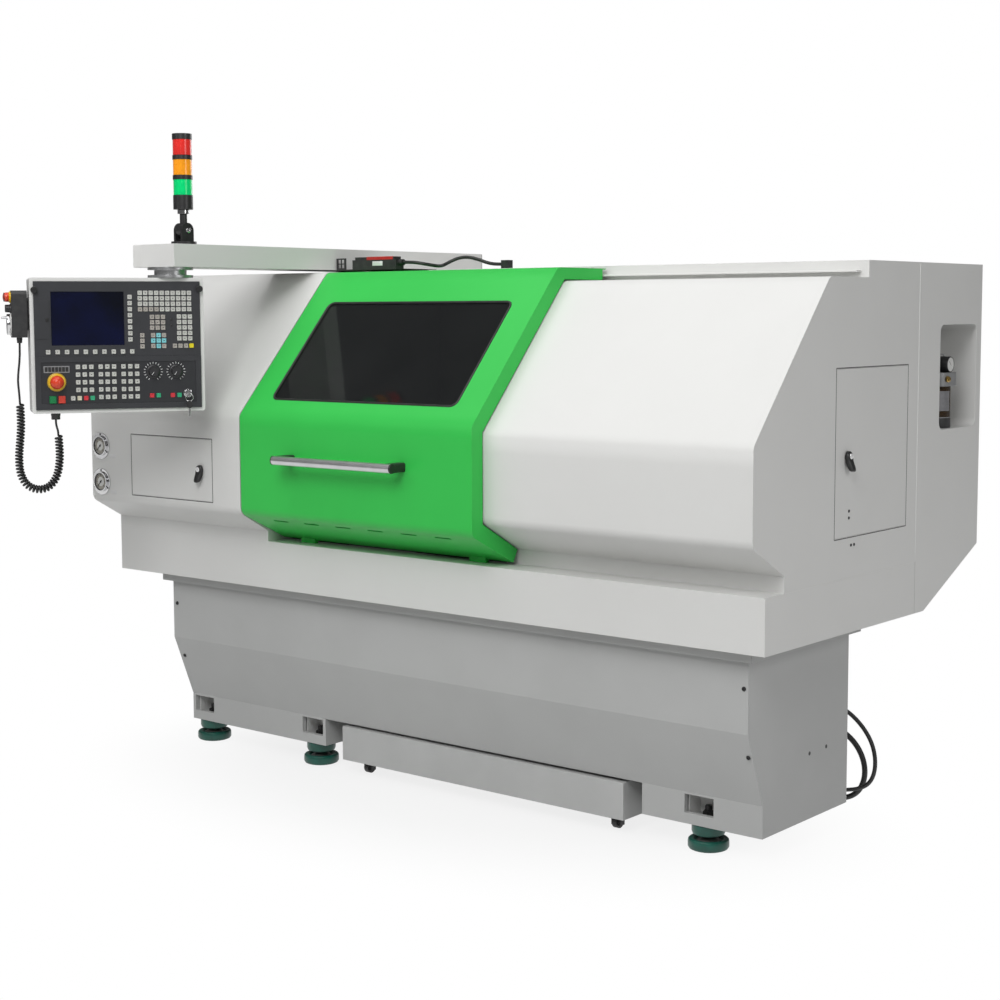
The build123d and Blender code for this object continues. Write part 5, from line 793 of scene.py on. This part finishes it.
turned("lube_gauge_case", [(16, -1), (23.6, -1), (23.6, 47), (22.6, 49), (20.5, 49), (20.5, 48.3), (16, 48.3)],
       [(lube_gauge, (1, 0, 0))], latch_black, "frame")
turned("lube_gauge_dial", [(0, 48.2), (20.4, 48.2), (20.4, 48.7), (0, 48.8)],
       [(lube_gauge, (1, 0, 0))], dial_white, "frame")
plates("lube_gauge_needle", (17, 1.4, 0.6), [(0, 48.9), (0.2, 49.2)],
       [(lube_gauge + Vector((0, -0.003, 0.003)), (0, -0.7, 0.7), (1, 0, 0))], dial_black, "frame")
turned("lube_side_fitting", [(4, 0), (9.5, 0), (9.5, 5), (7.5, 6), (7.5, 9.4), (4, 9.6)],
       [(lube + Vector((0.052, -0.030, 1.243)), (1, 0, 0))], brass, "frame", sides=6)
turned("lube_fitting_nut", [(8.1, 1), (11.5, 1), (11.5, 10), (9.2, 12), (9.2, 17.6), (5, 17.8), (5, 14)],
       [(lube + Vector((0, -0.052, 1.242)), (0, -1, 0))], brass, "frame", sides=6)
bare_plate = finish("bare_plate", (0.24, 0.24, 0.25), (0.20, 0.20, 0.21), (0.4, 0.1), (60, 900, 0.01), metal=0.6)
plate_low, plate_high, plate_turns = 1.150, 1.208, range(-55, 5, 5)
mesh = bmesh.new()
outer, inner = [
    [[mesh.verts.new(lube + Vector((cos(radians(a)) * r, sin(radians(a)) * r, z))) for a in plate_turns]
     for z in (plate_low, plate_high)] for r in (0.0463, 0.0460)]
for low, high in ((outer[0], outer[1]), (inner[1], inner[0]), (outer[1], inner[1]), (inner[0], outer[0])):
    for k in range(len(low) - 1):
        mesh.faces.new([low[k], low[k + 1], high[k + 1], high[k]])
for k in (0, -1):
    mesh.faces.new([outer[0][k], outer[1][k], inner[1][k], inner[0][k]])
shape_of("lube_plate", mesh, bare_plate, "frame")

# Pendant fascia: two anthracite panels with a sunk screen, a card cover, a field of keys and a bright strip of
# cells. Knurled black knobs hold the upper panel to the painted housing.
anthracite = finish("anthracite", (0.030, 0.031, 0.036), (0.026, 0.027, 0.031), (0.42, 0.12), (20, 1400, 0.03),
                    edge=0.8)
dress(anthracite, "display_panel", "key_panel")
panel_middle, panel_width, panel_face = -163, 483, 53


def on_display(across, down, out=0.0):
    """A place on the display panel by shares of its width and of its height from the top."""
    middle, height = 77.5, 220
    x, y = panel_middle + panel_width * (across - 0.5), middle + height * (0.5 - down)
    return on_pendant(x, y, panel_face + out)


def on_keys(across, down, out=0.0):
    """A place on the key panel by shares of its width and of its height from the top."""
    middle, height = -110, 155
    x, y = panel_middle + panel_width * (across - 0.5), middle + height * (0.5 - down)
    return on_pendant(x, y, panel_face + out)


screen_glass = finish("screen_glass", (0.002, 0.003, 0.009), (0.003, 0.005, 0.030), (0.08, 0.04),
                      (7, 400, 0.002))
plates("screen", (209, 156, 1), [(0, 0.1), (0, 0.7), (0.4, 1.0)],
       [(on_pendant(-250.7, 78.8, 50), pendant_right, pendant_out)], screen_glass, "pendant")
plates("card_slide", (9, 11, 1.5), [(0, 1.4), (0, 2.4), (0.6, 3.0)],
       [(on_display(0.077, 0.51), pendant_right, pendant_out)], latch_black, "pendant")
turned("panel_knobs", [(0, 0), (6, 0), (6, 3), (9.5, 3.5), (9.8, 5), (9.8, 12), (8.6, 13.6), (0, 14)],
       [(on_display(0.004, 0.115), pendant_out), (on_display(0.996, 0.10), pendant_out)],
       latch_black, "pendant", sides=18)
field_black = finish("key_field_black", (0.017, 0.018, 0.022), (0.015, 0.016, 0.019), (0.46, 0.1),
                     (20, 1400, 0.02))
plates("key_field", (449, 121, 2), [(0, 0), (0, 0.12), (0.2, 0.25)],
       [(on_keys(0.5, 0.5), pendant_right, pendant_out)], field_black, "pendant")
strip_grey = finish("strip_grey", (0.30, 0.30, 0.31), (0.24, 0.24, 0.25), (0.4, 0.12), (60, 900, 0.01), metal=0.3)
plates("display_strip", (74, 20, 1.5), [(0, 0), (0, 0.5), (0.3, 0.8)],
       [(on_keys(0.1255, 0.238), pendant_right, pendant_out)], strip_grey, "pendant")
plates("strip_cells", (8.5, 14, 0.8), [(0, 0.7), (0, 1.0), (0.3, 1.2)],
       [(on_keys(0.064 + 0.0205 * k, 0.238), pendant_right, pendant_out) for k in range(7)],
       dial_black, "pendant")
turned("status_lamps", [(0, 0), (3.4, 0), (3.4, 0.8), (2.0, 1.8), (0, 2.1)],
       [(on_display(0.821, 0.512), pendant_out), (on_display(0.821, 0.587), pendant_out)],
       dial_black, "pendant", sides=20)

# Keys: moulded caps with a raised rim and a printed mark, most of them light grey. The cursor keys are cyan,
# and start, stop and spindle keys are coloured.
key_colours = [
    ("key_grey", (0.56, 0.56, 0.53)), ("key_cyan", (0.22, 0.62, 0.68)), ("key_yellow", (0.82, 0.68, 0.01)),
    ("key_red", (0.66, 0.03, 0.045)), ("key_green", (0.03, 0.40, 0.20)), ("key_beige", (0.66, 0.62, 0.48)),
    ("key_taupe", (0.40, 0.37, 0.34)), ("lit_green", (0.0, 0.20, 0.055)), ("lit_red", (0.62, 0.05, 0.03)),
]
grey, cyan, yellow, red, green, beige, taupe, lit_green, lit_red = range(len(key_colours))
key_finishes = [
    finish(name, colour, [0.9 * value for value in colour], (0.42, 0.1), (80, 1400, 0.02), edge=0.5)
    for name, colour in key_colours]
display_blocks = [
    ((0.571, 0.209), (0.571, 0.776), 1, 8), ((0.079, 0.938), (0.580, 0.938), 10, 1),
    ((0.633, 0.154), (0.933, 0.374), 10, 4), ((0.704, 0.477), (0.771, 0.622), 3, 3),
    ((0.709, 0.723), (0.775, 0.868), 3, 3), ((0.643, 0.723), (0.643, 0.872), 1, 3),
    ((0.869, 0.473), (0.936, 0.769), 3, 5), ((0.841, 0.868), (0.943, 0.868), 4, 1),
]
panel_blocks = [
    ((0.252, 0.196), (0.332, 0.632), 3, 4), ((0.2195, 0.788), (0.3356, 0.788), 4, 1),
    ((0.388, 0.196), (0.468, 0.773), 3, 5), ((0.525, 0.196), (0.607, 0.773), 3, 5),
    ((0.695, 0.760), (0.735, 0.760), 2, 1), ((0.822, 0.760), (0.863, 0.760), 2, 1),
]
letters, figures, cursors, shifts, resets = 2, 3, 4, 5, 7
modes, spindles, coolants = 1, 4, 5
cap_places, mark_places = [], []
for place_on, blocks in ((on_display, display_blocks), (on_keys, panel_blocks)):
    for block, (first, last, columns, rows) in enumerate(blocks):
        for column in range(columns):
            for row in range(rows):
                across = first[0] + (last[0] - first[0]) * column / max(columns - 1, 1)
                down = first[1] + (last[1] - first[1]) * row / max(rows - 1, 1)
                colour = grey
                if place_on is on_display:
                    if block == cursors and (row == 1 or column == 1):
                        colour = cyan
                    elif block == resets and column == 3:
                        colour = yellow
                    elif block in (figures, cursors, shifts, resets):
                        colour = taupe
                    elif block == letters and row == 3 and column < 4:
                        colour = taupe
                elif block == modes:
                    colour = (grey, beige, red, green)[column]
                elif block in (spindles, coolants):
                    colour = (red, green)[column]
                cap_places.append((place_on(across, down), pendant_right, pendant_out, colour))
                if colour in (grey, cyan, taupe):
                    mark_places.append((place_on(across, down, 3.0), block + row + column))
caps = plates("key_caps", (13, 13, 1.6), [(0, 0), (0, 2.0), (0.8, 3.0), (1.9, 3.0), (2.2, 2.8)], cap_places,
              key_finishes, "pendant")
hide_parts("panel_keys")
mark_sizes, mark_sunk, mark_rise = ((4.6, 1.1), (2.2, 2.2), (1.2, 4.0), (3.6, 2.0)), 0.15, 0.00012
mark_outlines = []
for spot, kind in mark_places:
    wide, tall = mark_sizes[kind % len(mark_sizes)]
    mark_outlines.append([
        spot + (pendant_right * x * wide / 2 + plumb * y * tall / 2 - pendant_out * mark_sunk) / 1000
        for x, y in ((-1, -1), (1, -1), (1, 1), (-1, 1))])
slips("key_marks", mark_outlines, pendant_out * mark_rise, dial_black, "pendant")
plates("lit_buttons", (20, 22, 1.5), [(0, 0), (0, 4.5), (0.9, 6.0), (3.0, 6.0), (3.4, 5.6)], [
    (on_keys(0.0995, 0.81), pendant_right, pendant_out, lit_green),
    (on_keys(0.153, 0.81), pendant_right, pendant_out, lit_red),
], key_finishes, "pendant")

# Emergency stop: a red moulded mushroom on a yellow moulded collar. Its stem goes through the panel, is pressed
# in by hand and springs back out.
stop_red = finish("stop_red", (0.72, 0.055, 0.018), (0.68, 0.050, 0.016), (0.24, 0.08), (60, 900, 0.02))
stop_yellow = finish("stop_yellow", (0.80, 0.50, 0.01), (0.76, 0.47, 0.01), (0.32, 0.08), (60, 900, 0.02))
stop_spot = on_keys(0.124, 0.48)
turned("stop_collar", [(11.4, 7.9), (11.4, 8.6), (24, 8.6), (26.6, 7.2), (27.2, 4), (27.2, 0.1), (26.1, 0.1)],
       [(stop_spot, pendant_out)], stop_yellow, "pendant", sides=56)
stop_cap = turned("stop_cap", [
    (0, -5.5), (10.6, -5.5), (10.6, 14.2), (18.2, 14.2), (19.8, 15.4), (20.0, 18), (19.4, 24), (17.4, 29.5),
    (13.5, 34.0), (8.0, 37.5), (3.0, 38.8), (0, 39.0)], [(stop_spot, pendant_out)], stop_red, "estop", sides=56)
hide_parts("estop_button")

# Override dials: black moulded knobs with a skirt, a fluted grip and a white pointer. Each one sits on a
# shaft through the panel, inside a ring of printed ticks.
dial_knob = finish("dial_knob", (0.016, 0.016, 0.018), (0.024, 0.024, 0.026), (0.4, 0.12), (80, 1200, 0.03))
knob_stations = ((0, -5.5, 0), (3.9, -5.5, 0), (3.9, 0.4, 0), (19.8, 0.4, 0), (19.8, 2.6, 0), (17.4, 4.4, 0),
                 (15.3, 4.6, 0.6), (14.6, 19.5, 0.6), (13.2, 21.4, 0.3), (0, 21.9, 0))
knob_sides, flute_every, tick_reach = 72, 3, 0.0255
dial_marks, first_mark, mark_step = 17, 240, 18.75
for number, spot in ((1, on_keys(0.705, 0.30)), (2, on_keys(0.844, 0.30))):
    mesh = bmesh.new()
    upright = pendant_out.cross(pendant_right)
    rings = []
    for radius, height, flute in knob_stations:
        ring = []
        for k in range(knob_sides):
            angle = 2 * pi * k / knob_sides
            r = (radius - flute * (k % flute_every == 0)) / 1000
            place = spot + (pendant_right * cos(angle) + upright * sin(angle)) * r + pendant_out * height / 1000
            ring.append(mesh.verts.new(place))
        rings.append(ring)
    for low, high in zip(rings, rings[1:]):
        for k in range(knob_sides):
            mesh.faces.new([low[k], low[(k + 1) % knob_sides], high[(k + 1) % knob_sides], high[k]])
    knob = shape_of(f"override_knob_{number}", mesh, dial_knob, f"dial_{number}")
    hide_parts(f"override_dial_{number}")
    plates(f"knob_pointer_{number}", (1.6, 11, 0.5), [(0, 21.3), (0.2, 22.1)],
           [(spot - (pendant_right * 3.5 + plumb * 5.4) / 1000, pendant_right * 0.84 - plumb * 0.54,
             pendant_out)], label_white, f"dial_{number}")
    ticks = []
    for tick in range(dial_marks):
        angle = radians(first_mark - mark_step * tick)
        away = pendant_right * cos(angle) + plumb * sin(angle)
        ticks.append((spot + away * tick_reach, away, pendant_out))
    plates(f"dial_ticks_{number}", (5.5, 1.9, 0.4), [(0, 0), (0, 0.2), (0.1, 0.3)], ticks, label_white, "pendant")

# Key switch: a chromed barrel screwed through the panel, with a bright key in it. A second key with a black head
# hangs below on a ring of steel wire.
dress(chrome, "key_switch")
switch_spot = on_keys(0.915, 0.726)
turned("key_collar", [(8.6, 0.1), (13.5, 0.1), (13.5, 1.6), (12.2, 3.2), (10.2, 3.6), (10.2, 0.4)],
       [(switch_spot, pendant_out)], chrome, "pendant")
ring_top = switch_spot + pendant_out * 0.031
ring_wire, ring_radius, ring_points = 0.0009, 0.0115, 32
key_across, key_out = pendant_right * 0.9 + pendant_out * 0.43, pendant_out * 0.9 - pendant_right * 0.43
wire_loop("key_ring", [
    ring_top + (key_across * cos(2 * pi * k / ring_points) + plumb * (sin(2 * pi * k / ring_points) - 1.0))
    * ring_radius for k in range(ring_points)], ring_wire, 2, chrome, "key")
plates("spare_key", (18, 22, 8), [(0.4, -1), (0, -0.6), (0, 0.6), (0.4, 1)],
       [(ring_top - plumb * 0.033, key_across, key_out)], latch_black, "key")
plates("spare_blade", (5, 26, 1), [(0.2, -0.8), (0, -0.5), (0, 0.5), (0.2, 0.8)],
       [(ring_top - plumb * 0.056, key_across, key_out)], chrome, "key")

# Hand-held pulse unit: a black moulded box on the pendant's side, with a bright rimmed wheel, a selector and a
# small emergency stop. It lifts off its holder on the curly cord.
unit_black = finish("unit_black", (0.017, 0.017, 0.018), (0.028, 0.028, 0.028), (0.48, 0.12), (60, 1200, 0.05),
                    edge=1.5)
dress(unit_black, "mpg_unit")
dress(anodised, "mpg_wheel")
unit_face = -465.5
unit_stop, unit_choice, unit_wheel = [
    [(on_pendant(unit_face, level), -pendant_right)] for level in (141.8, 108.9, 62.4)]
turned("unit_stop_ring", [(13.2, 0.1), (16.5, 0.1), (16.5, 3.5), (15.2, 5.2), (13.2, 5.2)],
       unit_stop, stop_yellow, "pendant")
turned("unit_stop_cap", [(13.1, 5.0), (13.8, 6.0), (14.0, 11), (13.2, 17), (10.5, 20.5), (5, 22.2), (0, 22.6)],
       unit_stop, stop_red, "pendant")
turned("unit_selector", [(11.1, 0.1), (13.2, 0.1), (12.8, 3), (11.6, 4.5), (11.3, 15.4), (10, 16.8), (0, 17.1)],
       unit_choice, dial_knob, "pendant", sides=24)
turned("wheel_scale", [(30.2, 0.5), (33.5, 0.5), (33.5, 2.4), (31.6, 3.6), (30.2, 3.6)],
       unit_wheel, dial_white, "pendant", sides=56)
turned("wheel_rim", [(30.1, 2), (30.6, 3), (30.6, 10.5), (29.6, 12.5), (24, 12.8), (23, 12.5)],
       unit_wheel, chrome, "pulse_wheel", sides=56)

# Cable glands of the pendant: a black nylon dome under the housing and a rubber sleeve under the pulse unit.
# The curly cord leaves through them and is gripped there.
turned("pendant_gland", [(11, 0), (14, 0), (14, 8), (13.2, 9.5), (13.2, 19), (12.4, 20.6), (3.4, 20.8)],
       [(on_pendant(-346, -198.5), (0, 0, -1))], nylon, "pendant", sides=12)
turned("unit_gland", [(7.6, 0), (8.4, 0), (8.2, 7), (7.0, 13), (5.2, 16.2), (3.6, 16.4)],
       [(on_pendant(-443.5, 24), (0, 0, -1))], cable_rubber, "pendant", sides=24)

# Signal tower: three moulded lenses with fine ribs, stacked between black rings. They stand on a folding black
# foot with a bright collar, screwed to the arm.
tower_black = finish("tower_black", (0.014, 0.014, 0.015), (0.022, 0.022, 0.022), (0.34, 0.12), (60, 1000, 0.03),
                     edge=0.8)
dress(tower_black, "tower_foot", "tower_stem")
tower_axis = at(-663, -204, 0)
rib_pitch, rib_count = 3.05, 15
one_rib = ((28.3, 1.4), (28.3, 2.6), (27.2, 3.1), (27.2, 3.9))
for name, bottom, colour in (
    ("lens_green", 1794.0, (0.0, 0.66, 0.20)), ("lens_amber", 1853.5, (0.88, 0.36, 0.015)),
    ("lens_red", 1913.0, (0.74, 0.035, 0.028)),
):
    lens = finish(name, colour, [0.85 * value for value in colour], (0.16, 0.06), (30, 500, 0.02))
    shader = lens.node_tree.nodes["Principled BSDF"]
    shader.inputs["Coat Weight"].default_value = 0.3
    # Painted glow: a faint emission in the lens colour stands in for daylight shining through the coloured
    # plastic.
    shader.inputs["Emission Color"].default_value = (*colour, 1)
    shader.inputs["Emission Strength"].default_value = 0.22
    ribs = [(12, 0.1), (26.6, 0.1)]
    for rib in range(rib_count):
        ribs += [(wide, high + rib_pitch * rib) for wide, high in one_rib]
    ribs += [(26.6, 46.9), (12, 46.9)]
    ribbed = turned(name, ribs, [(tower_axis + plumb * bottom / 1000, (0, 0, 1))], lens, "tower", sides=48)
    if name == "lens_green":
        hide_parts("signal_lamps")
turned("tower_collar", [(11.4, 0), (17.4, 0.4), (17.4, 11), (15.5, 12.9), (11.4, 12.9)],
       [(tower_axis + plumb * 1.739, (0, 0, 1))], chrome, "tower", sides=48)
turned("knuckle_screw", [(0, 0), (8.6, 0), (8.6, 3.4), (7.4, 5.4), (4.2, 5.8), (4.0, 2.6), (0, 2.4)],
       [(at(-644, -204, 1689), (1, 0, 0))], chrome, "frame", sides=24)

# Door switch on the roof: a black moulded switch with a red cover, screwed to a bracket with a row of holes.
# A blank label is stuck on its front.
switch_black = finish("switch_black", (0.018, 0.018, 0.019), (0.03, 0.03, 0.03), (0.42, 0.12), (60, 1000, 0.04),
                      edge=1.0)
dress(switch_black, "interlock_switch")
switch_red = finish("switch_red", (0.52, 0.02, 0.018), (0.47, 0.018, 0.016), (0.34, 0.1), (60, 900, 0.02),
                    edge=0.8)
plates("switch_cover", (112, 37, 3), [(0, -9.5), (0, -0.4), (1.2, 0.5)],
       [(at(-390, 382, 1617), (1, 0, 0), (0, 0, 1))], switch_red, "frame")
plates("switch_label", (44, 14, 1), [(0, 0), (0, 0.2), (0.2, 0.3)],
       [(at(-398, 364, 1596), (1, 0, 0), front)], label_white, "frame")

# Studio: a pale floor of matt board that runs into a white ground. A broad soft light stands in front, one hangs
# overhead, and three weak fills open up the ends and the back.
floor_reach = 14
floor_data = bpy.data.meshes.new("floor")
floor_data.from_pydata([(x * floor_reach, y * floor_reach, 0) for x, y in ((-1, -1), (1, -1), (1, 1), (-1, 1))],
                       [], [(0, 1, 2, 3)])
floor = bpy.data.objects.new("floor", floor_data)
floor.location = (0, 0, -0.0005)
bpy.context.collection.objects.link(floor)
floor_paint = bpy.data.materials.new("floor_paint")
floor_paint.use_nodes = True
tree = floor_paint.node_tree
tree.nodes.remove(tree.nodes["Principled BSDF"])
matt = tree.nodes.new("ShaderNodeBsdfDiffuse")
matt.inputs["Color"].default_value = (0.66, 0.66, 0.66, 1)
bright = tree.nodes.new("ShaderNodeEmission")
bright.inputs["Color"].default_value = (1, 1, 1, 1)
near = tree.nodes.new("ShaderNodeTexCoord")
flat = vector_from(tree, "MULTIPLY", near.outputs["Object"], (0.62, 1.0, 0.0))
fade = tree.nodes.new("ShaderNodeMapRange")
fade.interpolation_type = "SMOOTHSTEP"
fade.inputs["From Min"].default_value = 0.35
fade.inputs["From Max"].default_value = 0.95
fade.inputs["To Min"].default_value = 0.82
tree.links.new(vector_from(tree, "LENGTH", flat), fade.inputs["Value"])
seen = tree.nodes.new("ShaderNodeLightPath")
shown = number_from(tree, "MAXIMUM", seen.outputs["Is Camera Ray"], seen.outputs["Is Glossy Ray"])
passed = number_from(tree, "MAXIMUM", shown, seen.outputs["Is Transmission Ray"])
both = tree.nodes.new("ShaderNodeMixShader")
amount = number_from(tree, "MULTIPLY", passed, fade.outputs["Result"])
fed(tree, both, (amount, matt.outputs["BSDF"], bright.outputs["Emission"]))
tree.links.new(both.outputs["Shader"], tree.nodes["Material Output"].inputs["Surface"])
floor.data.materials.append(floor_paint)

world = bpy.data.worlds.new("studio")
bpy.context.scene.world = world
world.use_nodes = True
tree = world.node_tree
ambient = tree.nodes["Background"]
ambient.inputs["Color"].default_value = (1, 1, 1, 1)
ambient.inputs["Strength"].default_value = 0.14
ground = tree.nodes.new("ShaderNodeBackground")
ground.inputs["Color"].default_value = (1, 1, 1, 1)
ground.inputs["Strength"].default_value = 1.0
seen = tree.nodes.new("ShaderNodeLightPath")
both = tree.nodes.new("ShaderNodeMixShader")
shown = number_from(tree, "MAXIMUM", seen.outputs["Is Camera Ray"], seen.outputs["Is Transmission Ray"])
fed(tree, both, (shown, ambient.outputs["Background"], ground.outputs["Background"]))
tree.links.new(both.outputs["Shader"], tree.nodes["World Output"].inputs["Surface"])

for name, place, aim, size, power in (
    ("front_softbox", (2.0, -4.2, 4.3), (0.2, 0.0, 1.0), 2.6, 154.0),
    ("roof_softbox", (-0.4, -0.8, 4.6), (-0.1, 0.2, 1.0), 3.4, 70.0),
    ("tail_fill", (5.2, -0.4, 2.8), (0.9, 0.3, 1.2), 1.8, 42.0),
    ("head_fill", (-1.6, -4.0, 3.4), (-0.8, -0.2, 1.3), 1.8, 28.0),
    ("back_fill", (-1.0, 4.8, 3.2), (0.0, 0.8, 1.0), 2.6, 75.0),
):
    lamp = bpy.data.lights.new(name, "AREA")
    lamp.size = size
    lamp.energy = power
    holder = bpy.data.objects.new(name, lamp)
    holder.location = place
    holder.rotation_euler = (Vector(aim) - Vector(place)).to_track_quat("-Z", "Y").to_euler()
    bpy.context.collection.objects.link(holder)
